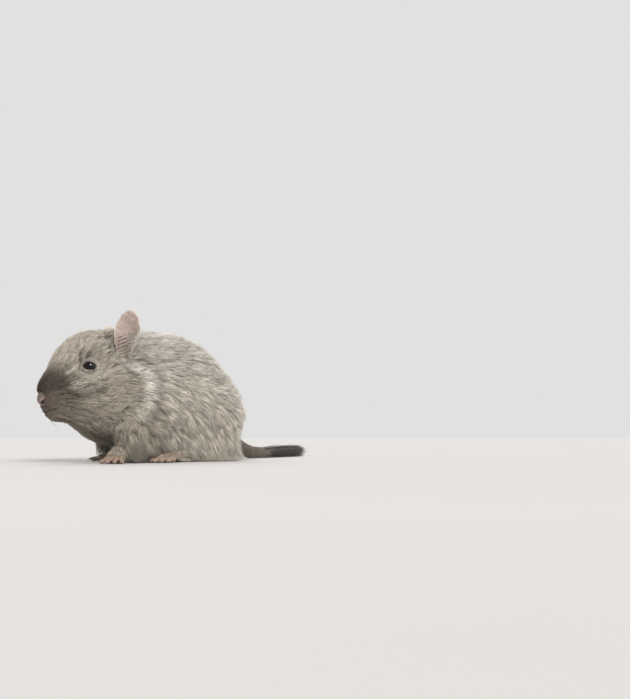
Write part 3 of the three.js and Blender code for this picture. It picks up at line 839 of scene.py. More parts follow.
class Ground:
    """The surface that tufts grow on: its triangles, corners, normals and map."""

    def __init__(self, made):
        mesh = made.data
        self.places, self.normals = corners_of(mesh)
        mesh.calc_loop_triangles()
        count = len(mesh.loop_triangles)
        self.triangles = np.empty(count * 3, int)
        loops = np.empty(count * 3, int)
        mesh.loop_triangles.foreach_get("vertices", self.triangles)
        mesh.loop_triangles.foreach_get("loops", loops)
        self.triangles = self.triangles.reshape(-1, 3)
        flat = np.empty(len(mesh.loops) * 2)
        mesh.uv_layers["OFBake"].data.foreach_get("uv", flat)
        self.map = flat.reshape(-1, 2)[loops.reshape(-1, 3)]
        self.tree = tree_of(self.places)
        a, b, c = (self.places[self.triangles[:, i]] for i in range(3))
        self.areas = np.linalg.norm(np.cross(b - a, c - a), axis=1) / 2
        self.area = float(self.areas.sum())

    def roots(self, density_of, random):
        """Evenly drawn places, normals and map points, with this many for each square mm."""
        middle = self.places[self.triangles].mean(axis=1)
        facing = self.normals[self.triangles].mean(axis=1)
        wanted = np.cumsum(self.areas * density_of(middle, facing))
        count = int(wanted[-1])
        drawn = np.arange(count) + random.uniform(size=count)
        chosen = np.minimum(np.searchsorted(wanted, drawn), len(wanted) - 1)
        share = random.dirichlet((1, 1, 1), len(chosen))[:, :, None]
        mixed = [(field * share).sum(axis=1) for field in (
            self.places[self.triangles[chosen]], self.normals[self.triangles[chosen]], self.map[chosen])]
        mixed[1] /= np.linalg.norm(mixed[1], axis=1)[:, None]
        return mixed

    def above(self, points, height):
        """The points moved to this height over the skin below them."""
        found = nearest(self.tree, points)
        under, facing = self.places[found], self.normals[found]
        gap = np.sum((points - under) * facing, axis=1)
        return points + facing * (height - gap)[:, None]


def write_tufts(name, rings, tips, patches, colours):
    """One mesh of closed blades from their rings of three corners and their tips."""
    count, bends = len(tips), rings.shape[1] // 3
    corners = np.concatenate([rings, tips[:, None]], axis=1).reshape(-1, 3)
    offsets = np.arange(count)[:, None, None] * (bends * 3 + 1)
    faces = (blade_faces(bends)[None] + offsets).reshape(-1, 3)
    mesh = bpy.data.meshes.new(name)
    mesh.vertices.add(len(corners))
    mesh.vertices.foreach_set("co", (corners * MM).ravel())
    mesh.loops.add(faces.size)
    mesh.loops.foreach_set("vertex_index", faces.ravel())
    mesh.polygons.add(len(faces))
    mesh.polygons.foreach_set("loop_start", np.arange(0, faces.size, 3))
    mesh.polygons.foreach_set("use_smooth", np.ones(len(faces), bool))
    mesh.update(calc_edges=True)
    spread = patches[:, None] + blade_patch(bends)[None] * PATCH
    layer = mesh.uv_layers.new(name="OFBake")
    layer.data.foreach_set("uv", spread.reshape(-1, 2)[faces.ravel()].ravel())
    give_colours(mesh, colours.reshape(-1, 3))
    made = bpy.data.objects.new(name, mesh)
    bpy.context.scene.collection.objects.link(made)
    return made


class Coat:
    """Arrays that describe a coat's tufts, one row for each."""

    streak = edge = 0.0

    def __init__(self, ground, density_of, seed):
        self.ground, self.random = ground, np.random.default_rng(seed)
        self.roots, self.normals, self.patches = ground.roots(density_of, self.random)

    def keep(self, chosen):
        self.roots, self.normals, self.patches = (
            self.roots[chosen], self.normals[chosen], self.patches[chosen])

    def jitter(self, amount):
        return 1 + amount * self.random.uniform(-1, 1, len(self.roots))

    def shape(self, heading, length, width, height, gap=2.6, pull=0.5, ruffle=0.16, bends=1, hang=None):
        """Bends the blades along the ground and draws them together into locks."""
        random, count = self.random, len(self.roots)
        self.length, self.width = length * self.jitter(0.22), width * self.jitter(0.25)
        per_lock = max(gap**2 * count / self.ground.area, 1)
        leaders = random.choice(count, max(int(count / per_lock), 1), replace=False)
        lock = nearest(tree_of(self.roots[leaders]), self.roots)
        lean = (random.normal(0, 1, len(leaders))[lock] + random.normal(0, 0.6, count)) * ruffle
        sideways = np.cross(self.normals, heading)
        heading = heading * np.cos(lean)[:, None] + sideways * np.sin(lean)[:, None]
        lift = random.uniform(0.65, 1.3, len(leaders))[lock] * random.uniform(0.55, 1.3, count) * height
        apart = self.roots - self.roots[leaders][lock]
        apart -= heading * np.sum(apart * heading, axis=1)[:, None]
        self.shade = random.normal(0, 1, len(leaders))[lock]
        # How far a blade lies from its lock's middle, for painted shade at the lock's edge.
        self.edge = np.clip(np.linalg.norm(apart, axis=1) / (gap * 0.6), 0, 1)
        self.start = self.roots - self.normals * SUNK
        if hang is not None:
            hang = hang * (1 - smooth_step(self.normals[:, 2], 0.2, 0.7))
        self.path = []
        for along in np.linspace(0, 1, bends + 2)[1:]:
            point = self.roots + heading * (self.length * along)[:, None] - apart * pull * along**1.5
            laid = self.ground.above(point, lift * math.sin(along * math.pi / 2) ** 0.6)
            if hang is not None:
                down = np.array(HANG) * np.c_[np.ones(count), np.sign(self.normals[:, 1]), np.ones(count)]
                free = self.roots + self.normals * (lift * along)[:, None]
                free = free + down * (self.length * along)[:, None] - apart * pull * along**1.5
                laid = laid + (free - laid) * hang[:, None]
                laid[:, 2] = np.maximum(laid[:, 2], FLOOR_CLEARANCE)
            self.path.append(laid)

    def colours(self, base, root_shade, tip_tint, spread, tip_share=0.3):
        """Colours from each blade's root to its tip."""
        count, steps = len(self.roots), len(self.path)
        light = 1 + self.shade * spread + self.random.normal(0, spread * 0.8, count) + self.streak * 0.1
        # Painted shade: blades at the edge of a lock are darker, as in the creases between locks.
        light *= 1 - 0.16 * self.edge**2
        dark = self.random.uniform(size=count) < 0.1
        light = np.where(dark, light * 0.76, light)[:, None]
        pale = tip_share * np.clip(base.mean(axis=1) / 0.45, 0, 1)[:, None]
        tip = base * light + (np.array(tip_tint) - base * light) * pale
        rows = []
        for step in range(steps):
            rows += [base * light * (root_shade + (1 - root_shade) * min(step / steps * 2, 1))] * 3
        return np.clip(np.stack([*rows, tip], axis=1), 0.003, 0.95)

    def rings(self, thin=0.42):
        """Rings of three corners for each blade, flat on the skin with a ridge on top."""
        made = []
        ahead = self.path[-1] - self.start
        ahead /= np.linalg.norm(ahead, axis=1)[:, None]
        aside = np.cross(self.normals, ahead)
        aside /= np.linalg.norm(aside, axis=1)[:, None] + 1e-9
        above = np.cross(ahead, aside)
        steps = len(self.path)
        for step, place in enumerate([self.start, *self.path[:-1]]):
            share = 1 - 0.75 * (step / steps) ** 2
            half = aside * (self.width * share / 2)[:, None]
            ridge = above * (self.width * share * thin)[:, None]
            made += [place + half, place - half, place + ridge]
        return np.stack(made, axis=1)

    def write(self, name, finish, colours, chosen=None, slot="coat"):
        """Writes the chosen blades as pieces that stay under the size limit."""
        rows = np.arange(len(self.roots)) if chosen is None else np.flatnonzero(chosen)
        rings = self.rings()
        parts = max(1, math.ceil(len(rows) * len(blade_faces(len(self.path))) / PIECE_LIMIT))
        for i, part in enumerate(np.array_split(rows, parts)):
            label = name if parts == 1 else f"{name}_{i + 1}"
            made = write_tufts(label, rings[part], self.path[-1][part], self.patches[part], colours[part])
            made.data.materials.append(finish.material)
            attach(made, BODY)
            print(label, len(part), "tufts,", len(made.data.polygons), "triangles")


# %% Streaks along the coat
def streaks(ground, heading, reach, steps=5):
    """A field on the ground's corners that varies across the lie of the hair, hardly along it."""
    random = np.random.default_rng(5)
    share = smooth_step(in_head(ground.places)[:, 0], 28, 56)
    field = random.normal(size=len(ground.places)) * (1 - 0.4 * share) + clouds(ground.places, 2.4, 6) * share * 0.5
    total = field.copy()
    for way in (-1, 1):
        place, found = ground.places.copy(), np.arange(len(field))
        for _ in range(steps):
            place = place + heading[found] * (way * reach / steps)[:, None]
            found = nearest(ground.tree, place)
            total += field[found]
    return total / total.std()


# %% Grow the coat
def hair_density(points, facing):
    head, body = in_head(points), in_body(points)
    density = coat_measures(points, facing)[3]
    for eye in EYES.values():
        density = density * (np.linalg.norm(points - np.array(eye), axis=1) > 4.3)
    pad = (head - np.array(PAD_IN_HEAD)) / PAD_RADII
    density = density * (np.linalg.norm(pad, axis=1) > 1.04)
    density = density * (body[:, 0] < 103)
    return density * COAT_SCALE


COAT_SCALE = 1.0
ground = Ground(skin)
lie = heading_of_hair(ground.places, ground.normals)
streak = streaks(ground, lie, np.interp(in_head(ground.places)[:, 0], [0, 20, 50], [1.0, 3.0, 5.0]))
# The skin is painted darker than the coat: darker underfur, and painted shade deep in the coat.
shades = coat_colour(ground.places, ground.normals) * UNDERFUR_SHADE * (1 + 0.12 * streak)[:, None]
give_colours(skin.data, np.clip(shades, 0, 1))
coat = Coat(ground, hair_density, 11)
depth, length, width, _ = coat_measures(coat.roots, coat.normals)
rearward = in_head(coat.roots)[:, 0]
coat.streak = streak[nearest(ground.tree, coat.roots)] * np.interp(rearward, [24, 46], [1.25, 0.85])
free = hanging(coat.roots, coat.normals)
length, width = length + 3.6 * free, width * (1 - 0.2 * free)
ruff = stroke(in_head(coat.roots), RUFF_LINE, 3.6)
depth = depth * (1 + 0.09 * coat.streak + 0.4 * ruff)
ear_front = both_sides(in_head(coat.roots), (38.3, 18, 2.2), (6, 6, 9), 0.4)
length, depth = length * (1 - 0.75 * ear_front), depth * (1 - 0.6 * ear_front)
tight = np.interp(rearward, [0, 18, 34, 56], [0.12, 0.25, 0.4, 0.5])[:, None]
coat.shape(heading_of_hair(coat.roots, coat.normals), length, width, depth, 2.1, tight,
           0.16 + 0.14 * free, hang=free)
base = coat_colour(coat.roots, coat.normals)
root_shade = np.interp(rearward, [24, 46], [0.48, 0.58])[:, None]
tints = coat.colours(base, root_shade, linear(236, 230, 218), 0.06)
coat_finish = fur_finish("coat_hair", 0.68, 0.14)
face_side = in_head(coat.roots)[:, 0]
trunk_side = in_body(coat.roots)[:, 0]
REGIONS = {
    "coat_head": face_side < 44,
    "coat_front": (face_side >= 44) & (trunk_side < 2),
    "coat_rear": (face_side >= 44) & (trunk_side >= 2),
}
for name, chosen in REGIONS.items():
    coat.write(name, coat_finish, tints, chosen)

# %% [markdown]
# ## Eyes
#
# The eye is a dark wet ball. Its front bulges a little over the pupil, and a ring of very dark
# brown shows round it. A ball from an operator is enough: its corners carry the three tones, and
# a very smooth base gives the small sharp highlight of the key light.

# %% Eyeballs
EYE_RADIUS = 3.6
PUPIL_ANGLE, IRIS_ANGLE = 0.5, 0.85


def eye_axes(side):
    """Directions from corner to corner, to the brow, and outwards."""
    along = HEAD_AXES @ Vector((0.93, 0.27 * side, -0.25)).normalized()
    outward = HEAD_AXES @ Vector((-0.28, side, 0.1)).normalized()
    outward = (outward - along * outward.dot(along)).normalized()
    return along, along.cross(outward) * -side, outward


def eye_ball(name, side):
    form = bmesh.new()
    bmesh.ops.create_uvsphere(form, u_segments=64, v_segments=44, radius=EYE_RADIUS * MM)
    bmesh.ops.rotate(form, verts=form.verts, matrix=eye_axes(side)[2].to_track_quat("Z", "Y").to_matrix())
    bmesh.ops.translate(form, verts=form.verts, vec=EYES[side] * MM)
    made = mesh_object(f"eyeball_{name}", form)
    places, normals = corners_of(made.data)
    angle = np.arccos(np.clip(normals @ np.array(eye_axes(side)[2]), -1, 1))
    move_corners(made.data, places + normals * (0.14 * (1 - smooth_step(angle, 0.3, 0.9)))[:, None])
    tones = np.tile(linear(7, 6, 6), (len(places), 1))
    iris = smooth_step(angle, PUPIL_ANGLE - 0.04, PUPIL_ANGLE + 0.06) * (
        1 - smooth_step(angle, IRIS_ANGLE, IRIS_ANGLE + 0.12))
    tones += (linear(26, 17, 13) - tones) * iris[:, None]
    tones += (linear(70, 52, 46) - tones) * smooth_step(angle, 1.25, 1.4)[:, None]
    give_colours(made.data, tones)
    made.data.materials.append(eye_finish.material)
    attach(made, BODY)
    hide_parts(f"eye_{name}")


eye_finish = Finish("eye_wet", Roughness=0.04, Specular_IOR_Level=0.28)
eye_finish.set(Base_Color=eye_finish.node("Attribute", {"attribute_name": "coat_colour"}, output="Color"))
for name, side in SIDES.items():
    eye_ball(name, side)
print("eyes:", [tuple(round(x, 1) for x in EYES[side]) for side in SIDES.values()])

# %% [markdown]
# ## Lids
#
# A lid is a soft roll of skin that lies on the ball and leaves an almond open. A ring is spun
# from a small circle, and each of its corners is then moved: the way round the ring becomes the
# way round the almond, and the way across it runs from the dark wet margin out to the furred skin.

# %% Lid rings
LID_OPENING = (2.5, 1.66)
LID_WIDTH = 2.7
RING = 2.0


def lid_point(side, around, out, thick):
    """From round the opening, 0 to 1 away from the margin, and 0 to 1 through the lid."""
    along, upward, outward = eye_axes(side)
    x = LID_OPENING[0] * math.cos(around)
    y = LID_OPENING[1] * math.sin(around) * abs(math.sin(around)) ** 0.3 + 0.16 * x
    turn = math.atan2(y, x)
    angle = math.asin(min(math.hypot(x, y) / EYE_RADIUS, 0.985)) + out * LID_WIDTH / EYE_RADIUS
    brow = 0.34 * max(0, math.sin(around)) * (1 - out)
    reach = EYE_RADIUS + 0.06 + brow + thick * (0.5 - 0.15 * out) + 0.25 * out**2
    aside = along * math.cos(turn) + upward * math.sin(turn)
    return EYES[side] + (outward * math.cos(angle) + aside * math.sin(angle)) * reach


def lid_ring(name, side):
    form = bmesh.new()
    stand = Matrix.Translation((RING, 0, 0)) @ Matrix.Rotation(math.pi / 2, 4, "X")
    bmesh.ops.create_circle(form, segments=16, radius=0.5, matrix=stand)
    bmesh.ops.spin(form, geom=form.verts[:] + form.edges[:], cent=(0, 0, 0), axis=(0, 0, 1),
                   angle=math.tau, steps=88, use_merge=True)
    shares = []
    for corner in form.verts:
        x, y, z = corner.co
        shares.append(math.hypot(x, y) - RING + 0.5)
        corner.co = lid_point(side, math.atan2(y, x), shares[-1], z + 0.5) * MM
    bmesh.ops.recalc_face_normals(form, faces=form.faces)
    made = mesh_object(f"lids_{name}", form)
    unwrap(made)
    share = np.array(shares)
    tones = np.tile(linear(40, 33, 30), (len(share), 1))
    tones += (linear(112, 101, 90) - tones) * smooth_step(share, 0.05, 0.2)[:, None]
    give_colours(made.data, tones)
    made.data.materials.append(lid_finish.material)
    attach(made, BODY)
    return made


lid_finish = Finish("lid_skin", Roughness=0.42)
lid_finish.set(Base_Color=lid_finish.node("Attribute", {"attribute_name": "coat_colour"}, output="Color"))
lid_finish.bump(lid_finish.noise(0.35, 3.0), 0.12, 0.7)


def lid_fur(made, name, side, seed):
    """Very short hair that grows over the lids, away from the eye, with painted shade above it."""
    lashes = Coat(Ground(made), lambda points, facing: 17.0 * (facing @ np.array(eye_axes(side)[2]) > -0.3), seed)
    offset = lashes.roots - np.array(EYES[side])
    along, upward, outward = (np.array(axis) for axis in eye_axes(side))
    spread = np.hypot(offset @ along / LID_OPENING[0], offset @ upward / LID_OPENING[1])
    lashes.keep(spread > 1.14)
    offset = lashes.roots - np.array(EYES[side])
    heading = offset - lashes.normals * np.sum(offset * lashes.normals, axis=1)[:, None]
    behind_eye = smooth_step(offset @ np.array(BACK), -0.5, 1.5)
    heading += np.array(BACK) * (0.9 * behind_eye)[:, None]
    heading -= lashes.normals * np.sum(heading * lashes.normals, axis=1)[:, None]
    heading /= np.linalg.norm(heading, axis=1)[:, None]
    ones = np.ones(len(lashes.roots))
    length = 1.3 + 1.6 * smooth_step(spread[spread > 1.14], 1.25, 1.9)
    lashes.shape(heading, length, 0.13 * ones, 0.3 * ones, 1.2, 0.25, 0.25)
    # Painted shade: the fur above the eye is darker, as under the brow.
    upper = smooth_step(offset @ upward, 0.6, 2.6)
    base = coat_colour(lashes.roots, lashes.normals) * (1 - 0.34 * upper)[:, None]
    lashes.write(f"lid_fur_{name}", coat_finish, lashes.colours(base, 0.5, linear(236, 230, 218), 0.12))


for name, side in SIDES.items():
    lid_fur(lid_ring(name, side), name, side, 31 + side)

# %% [markdown]
# ## Nose
#
# The nose pad is bare, cobbled and moist, with two comma shaped nostrils that open to the sides.
# An icosphere is scaled to the pad, and its corners are pressed in near each nostril's path and
# raised a little in a rim around it. Colour follows the same distance, and the pits are painted
# near black as the shade inside the nostrils.

# %% Nose pad
NOSTRIL = [(0.5, 1.4, -5.9), (1.0, 2.8, -5.7), (2.2, 4.5, -5.0), (3.8, 5.4, -4.2)]


def nose_pad():
    form = bmesh.new()
    place = Matrix.Translation(on_head(*PAD_IN_HEAD) * MM) @ HEAD_AXES.to_4x4()
    scale = Matrix.Diagonal((*[radius * MM for radius in PAD_RADII], 1))
    bmesh.ops.create_icosphere(form, subdivisions=6, radius=1, matrix=place @ scale)
    made = mesh_object("nose_pad", form)
    places, normals = corners_of(made.data)
    head = in_head(places)
    path = smooth_path([Vector(point) for point in NOSTRIL], 24)
    away = np.full(len(places), 99.0)
    for side in SIDES.values():
        for step, point in enumerate(path):
            wide = np.interp(step, [0, 10, 23], [0.62, 0.85, 0.4])
            gap = np.linalg.norm(head - np.array(point) * (1, side, 1), axis=1) / wide
            away = np.minimum(away, gap)
    pit = 1 - smooth_step(away, 0.2, 1.25)
    rim = np.exp(-(((away - 1.9) / 0.55) ** 2))
    groove = np.exp(-((head[:, 1] / 0.3) ** 2)) * smooth_step(-head[:, 2], 3.6, 5.5)
    cobbles = clouds(head, 0.8, 51) * 0.05
    shift = rim * 0.16 - pit * 1.15 - groove * 0.3 + cobbles
    move_corners(made.data, places + normals * shift[:, None])
    tones = np.tile(linear(138, 116, 107), (len(places), 1))
    tones += (linear(102, 90, 81) - tones) * smooth_step(head[:, 2], -6, -2)[:, None]
    tones += (linear(172, 141, 131) - tones) * (rim * 0.6)[:, None]
    tones += (linear(56, 44, 40) - tones) * (smooth_step(clouds(head, 2.2, 53), 0.4, 1.2) * 0.5)[:, None]
    # Painted shade: the nostrils' pits are near black, as the shade inside them.
    tones += (linear(30, 20, 19) - tones) * np.clip(pit * 1.3, 0, 1)[:, None]
    tones *= (1 + clouds(head, 0.7, 52) * 0.06)[:, None]
    give_colours(made.data, np.clip(tones, 0, 1))
    made.data.materials.append(nose_finish.material)
    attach(made, BODY)
    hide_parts("nose")
    return made


nose_finish = Finish("nose_leather", Roughness=0.5, Coat_Weight=0.12, Coat_Roughness=0.35)
nose_finish.set(Base_Color=nose_finish.node("Attribute", {"attribute_name": "coat_colour"}, output="Color"))
nose_finish.bump(nose_finish.noise(0.42, 2.0), 0.3, 1.0)
nose = nose_pad()
print("nose pad:", len(nose.data.vertices), "corners")

# %% [markdown]
# ## Whiskers
#
# Whiskers are the stiffest hairs, rooted in rows on the pad beside the nose. They sweep out and
# back in a shallow arc, longest at the back of the pad. Each is a tube of five sides drawn along
# a curve, and thins to a point.

# %% Whiskers
WHISKER_ROWS, WHISKERS_IN_ROW = 4, 4
WHISKER_ROOT_RADIUS, WHISKER_TIP_RADIUS = 0.14, 0.03


def whisker_path(side, row, column, random):
    root_head = Vector((3.6 + 2.3 * column + 0.5 * row, (5.4 + 0.9 * column) * side, -3.4 - 1.75 * row))
    start = on_head(*root_head)
    found = ground.tree.find(start)[1]
    root = Vector(ground.places[found])
    length = (11 + 5 * column) * random.uniform(0.85, 1.15)
    out = HEAD_AXES @ Vector((0.1 + 0.34 * column + random.uniform(-0.15, 0.15), side,
                              0.25 - 0.3 * row + random.uniform(-0.12, 0.12))).normalized()
    bend = (HEAD_AXES @ Vector((0.75, -0.2 * side, -0.3))).normalized()
    points = [root - out * 0.8, root + out * length * 0.3,
              root + out * length * 0.65 + bend * length * 0.08, root + out * length * 0.94 + bend * length * 0.25]
    return smooth_path(points, 14)


def whiskers(name, side):
    random = np.random.default_rng(61 + side)
    form = bmesh.new()
    for row in range(WHISKER_ROWS):
        for column in range(WHISKERS_IN_ROW):
            path = whisker_path(side, row, column, random)
            tube(form, path, list(np.linspace(WHISKER_ROOT_RADIUS, WHISKER_TIP_RADIUS, 14)), 5)
    bmesh.ops.scale(form, vec=(MM, MM, MM), verts=form.verts)
    made = mesh_object(f"whiskers_{name}", form)
    places, _ = corners_of(made.data)
    share = smooth_step(np.abs(in_head(places)[:, 1]), 9, 24)
    tones = linear(34, 29, 26) + (linear(96, 90, 83) - linear(34, 29, 26)) * share[:, None]
    give_colours(made.data, tones)
    made.data.materials.append(whisker_finish.material)
    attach(made, BODY)


whisker_finish = Finish("whisker_hair", Roughness=0.35)
whisker_finish.set(
    Base_Color=whisker_finish.node("Attribute", {"attribute_name": "coat_colour"}, output="Color"))
for name, side in SIDES.items():
    whiskers(name, side)
print("whiskers:", 2 * WHISKER_ROWS * WHISKERS_IN_ROW)

# %% [markdown]
# ## Ears
#
# An ear is a thin oval cup that narrows to its root. A ball is pressed into this cup, as in the
# solids but much finer. Its root runs on under the skin of the head, its rim is blunt, and low in
# the cup the skin lies in a stack of soft folds, with painted shade dark in their troughs. Outside
# it carries short fur, and inside only a fine down.

# %% Ear shape
EAR_HEIGHT, EAR_WIDTH, EAR_THICKNESS = 24.5, 11.8, 1.1
EAR_ROOT = 4.0
EAR_PLACE = (40.3, 15.6, -0.6)
FOLD_PITCH, FOLD_HEIGHT = 1.9, 0.36


def ear_axes(side):
    upward = Vector((0.47, -0.02 * side, 0.88)).normalized()
    facing = Vector((-0.52, 0.84 * side, 0.06))
    facing = (facing - upward * facing.dot(upward)).normalized()
    return upward.cross(facing), upward, facing


def ear_shape(ball, side):
    """Presses a ball's corners into the cup, in the head's frame, and gives them their tones."""
    across, through, up = ball[:, 0], ball[:, 1], ball[:, 2]
    rise = (up + 1) / 2
    narrow = 0.8 + 0.24 * smooth_step(rise, 0.05, 0.62)
    narrow = narrow * (1 + 0.018 * np.sin(np.arctan2(up, across) * 7 + 0.6))
    cup = 4.6 - 2.7 * smooth_step(rise, 0.1, 0.8)
    thick = 1.7 - 0.7 * smooth_step(rise, 0.1, 0.5)
    blunt = np.sign(through) * np.abs(through) ** 0.7
    height = rise * EAR_HEIGHT - EAR_ROOT * np.clip(1 - rise / 0.2, 0, 1) ** 2
    depth = cup * across**2 + 1.6 * up**2 + blunt * thick * EAR_THICKNESS / 2
    inside = smooth_step(through, 0.05, 0.5)
    low = smooth_step(rise, 0.03, 0.1) * (1 - smooth_step(rise, 0.42, 0.54))
    swell = np.sin((height + 2.6 * across**2 - 1.6 * across) / FOLD_PITCH * math.tau)
    folds = inside * low * (1 - smooth_step(np.abs(across), 0.5, 0.95))
    depth = depth + swell * folds * FOLD_HEIGHT
    sideways, upward, facing = (np.array(axis) for axis in ear_axes(side))
    head = (across * narrow * EAR_WIDTH / 2)[:, None] * sideways + height[:, None] * upward
    head = head + depth[:, None] * facing + np.array(EAR_PLACE) * (1, side, 1)
    tones = np.tile(linear(178, 157, 149), (len(ball), 1))

    def paint(colour, mask):
        tones[:] += (linear(*colour) - tones) * mask[:, None]

    paint((174, 161, 147), 1 - inside)
    paint((140, 121, 109), inside * (1 - smooth_step(rise, 0.28, 0.6)) * 0.9)
    # Painted shade in the troughs of the folds.
    paint((40, 31, 27), np.clip(0.22 - swell * 2.2, 0, 1) * folds)
    rim = smooth_step(np.abs(across) ** 2 + np.clip(up, 0, 1) ** 2, 0.78, 0.97)
    paint((206, 194, 183), rim * 0.7)
    tones *= (1 + clouds(head, 4.5, 71) * 0.05)[:, None]
    return head, np.clip(tones, 0, 1)


def ear(name, side):
    form = bmesh.new()
    bmesh.ops.create_uvsphere(form, u_segments=112, v_segments=84, radius=1)
    ball = np.array([corner.co for corner in form.verts])
    head, tones = ear_shape(ball, side)
    for corner, place in zip(form.verts, head):
        corner.co = on_head(*place) * MM
    bmesh.ops.recalc_face_normals(form, faces=form.faces)
    made = mesh_object(f"ear_shell_{name}", form)
    unwrap(made)
    give_colours(made.data, tones)
    made.data.materials.append(ear_finish.material)
    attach(made, BODY)
    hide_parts(f"ear_{name}")
    return made


ear_finish = Finish("ear_skin_thin", Roughness=0.55, Subsurface_Weight=0.1, Subsurface_Scale=0.001)
ear_finish.set(Base_Color=ear_finish.node("Attribute", {"attribute_name": "coat_colour"}, output="Color"))
ear_finish.bump(ear_finish.noise(0.6, 3.0), 0.12, 0.5)


# %% Down on the ears
def ear_down(made, name, side, seed):
    facing = HEAD_AXES @ ear_axes(side)[2]

    root = np.array(on_head(*(np.array(EAR_PLACE) * (1, side, 1))))

    def furry(points):
        """1 on the low rear part of the ear, where the coat of the nape runs up it."""
        away = points - root
        rear = smooth_step(away @ (np.array(BACK) - 0.53 * np.array(UP)), -0.8, 1.8)
        return rear * (1 - smooth_step(away @ np.array(UP), 7, 13))

    def density(points, normals):
        inner = smooth_step(normals @ np.array(facing), -0.1, 0.35)
        high = smooth_step((points - root) @ np.array(UP), 10, 15)
        return 7 - inner * (6.8 - 3 * high) + 7 * furry(points)

    down = Coat(Ground(made), density, seed)
    down.keep(in_head(down.roots)[:, 2] > -3)
    upward = np.array(HEAD_AXES @ ear_axes(side)[1]) + np.array(BACK) * 0.25
    heading = upward - down.normals * (down.normals @ upward)[:, None]
    heading /= np.linalg.norm(heading, axis=1)[:, None] + 1e-9
    inner = smooth_step(down.normals @ np.array(facing), -0.1, 0.35)
    ruff = furry(down.roots)
    down.shape(heading, 1.7 - 0.8 * inner + 3.2 * ruff, 0.1 - 0.05 * inner + 0.13 * ruff,
               0.2 - 0.12 * inner + 0.6 * ruff, 1.2, 0.2, 0.2)
    base = linear(206, 197, 185) + (linear(222, 204, 194) - linear(206, 197, 185)) * inner[:, None]
    base += (linear(226, 217, 205) - base) * ruff[:, None]
    down.write(f"ear_down_{name}", coat_finish, down.colours(base, 0.85, linear(236, 230, 218), 0.05))


for name, side in SIDES.items():
    ear_down(ear(name, side), name, side, 73 + side)

# %% [markdown]
# ## Paws
#
# The fore paws have four slim digits, and the long hind feet have five. Each digit is a run of
# overlapping balls from the wrist or heel over the knuckle to its pad. One fine remesh then fuses
# a paw's balls into a single skin with soft webs between the digits.

# %% Paw shapes
PAW_VOXEL = 0.27
PAW_TURN = {-1: 36, 1: 4}
HEEL = {-1: (13, -16.5, 3.2), 1: (17, 16, 3.2)}
TOES = {-1: (-14, -23.5, 2.6), 1: (-8, 23, 2.6)}


def beads(form, path, radii, count):
    """A run of overlapping balls along a smooth curve, in millimetres."""
    shares = np.linspace(0, 1, len(radii))
    for place, share in zip(smooth_path(path, count), np.linspace(0, 1, count)):
        spot = Matrix.Translation(place)
        bmesh.ops.create_icosphere(form, subdivisions=2, radius=np.interp(share, shares, radii), matrix=spot)


def digit_path(root, toward, length, radius):
    """A digit's points from its root over the knuckle to its pad, and those of its claw."""
    toward = Vector((toward.x, toward.y, 0)).normalized()

    def at(share, height):
        return Vector((root.x, root.y, height)) + toward * length * share

    digit = [at(0, root.z), at(0.34, radius * 1.62), at(0.7, radius * 1.02), at(0.98, radius * 0.86)]
    claw = [at(0.9, radius * 0.9), at(1.08, radius * 1.15), at(1.22, radius * 0.95), at(1.36, radius * 0.3)]
    return digit, claw


def fore_paw(side):
    form, claws = bmesh.new(), bmesh.new()
    wrist, elbow = placed(*WRIST[side]), placed(*ELBOW[side])
    turn = math.radians(PAW_TURN[side]) * side
    forward, rightward = Vector((-math.cos(turn), math.sin(turn), 0)), Vector((math.sin(turn), math.cos(turn), 0))

    def step(ahead, aside, height):
        return Vector((wrist.x, wrist.y, height)) + forward * ahead + rightward * aside

    for finger in (-1.5, -0.5, 0.5, 1.5):
        root = step(7.2 - abs(finger) * 0.9, finger * 1.75, 2.2)
        digit, claw = digit_path(root, forward + rightward * finger * 0.24, 6.6 - abs(finger) * 0.6, 1.15)
        arm = wrist.lerp(elbow, 0.22) - forward * 1.1 + rightward * finger * 0.4
        chain = [arm, step(-0.5, finger * 0.5, 4.9), step(3.2, finger * 1.05, 3.3), *digit]
        beads(form, chain, (1.4, 2.0, 1.55, 1.2, 1.16, 0.82, 0.95), 44)
        tube(claws, smooth_path(claw, 9), list(np.interp(np.linspace(0, 1, 9), [0, 0.5, 1], [0.44, 0.32, 0.05])), 8)
    for aside in (-1.6, 0, 1.6):
        beads(form, [step(4.6, aside, 1.25), step(5.4, aside, 1.15)], (1.2, 1.15), 4)
    inner = -side
    beads(form, [step(0.6, inner * 1.6, 2.4), step(1.8, inner * 2.7, 1.5), step(2.8, inner * 3.1, 1.0)], (1.1, 0.85, 0.75), 8)
    return form, claws


def hind_foot(side):
    form, claws = bmesh.new(), bmesh.new()
    heel, toes = placed(*HEEL[side]), placed(*TOES[side])
    along = Vector((toes.x - heel.x, toes.y - heel.y, 0)).normalized()
    across = Vector((-along.y, along.x, 0))
    for toe in (-2, -1, 0, 1, 2):
        root = toes + across * toe * 1.65 + along * (1.6 - abs(toe) * 1.1)
        root.z = 2.4
        toward = along + across * (toe * 0.11 + side * 0.04)
        digit, claw = digit_path(root, toward, 8 - abs(toe) * 1.1, 1.3)
        middle = heel.lerp(toes, 0.5) + across * toe * 0.75
        middle.z = 3.0
        beads(form, [heel + across * toe * 0.35, middle, *digit], (2.6, 2.1, 1.35, 1.3, 0.95, 1.08), 46)
        tube(claws, smooth_path(claw, 9), list(np.interp(np.linspace(0, 1, 9), [0, 0.5, 1], [0.52, 0.38, 0.06])), 8)
        pad = root - along * 0.6
        pad.z = 1.25
        beads(form, [pad, pad + along * 1.4], (1.25, 1.15), 4)
    beads(form, [heel, heel + Vector((3, 0, 1.5))], (3.1, 3.0), 5)
    return form, claws


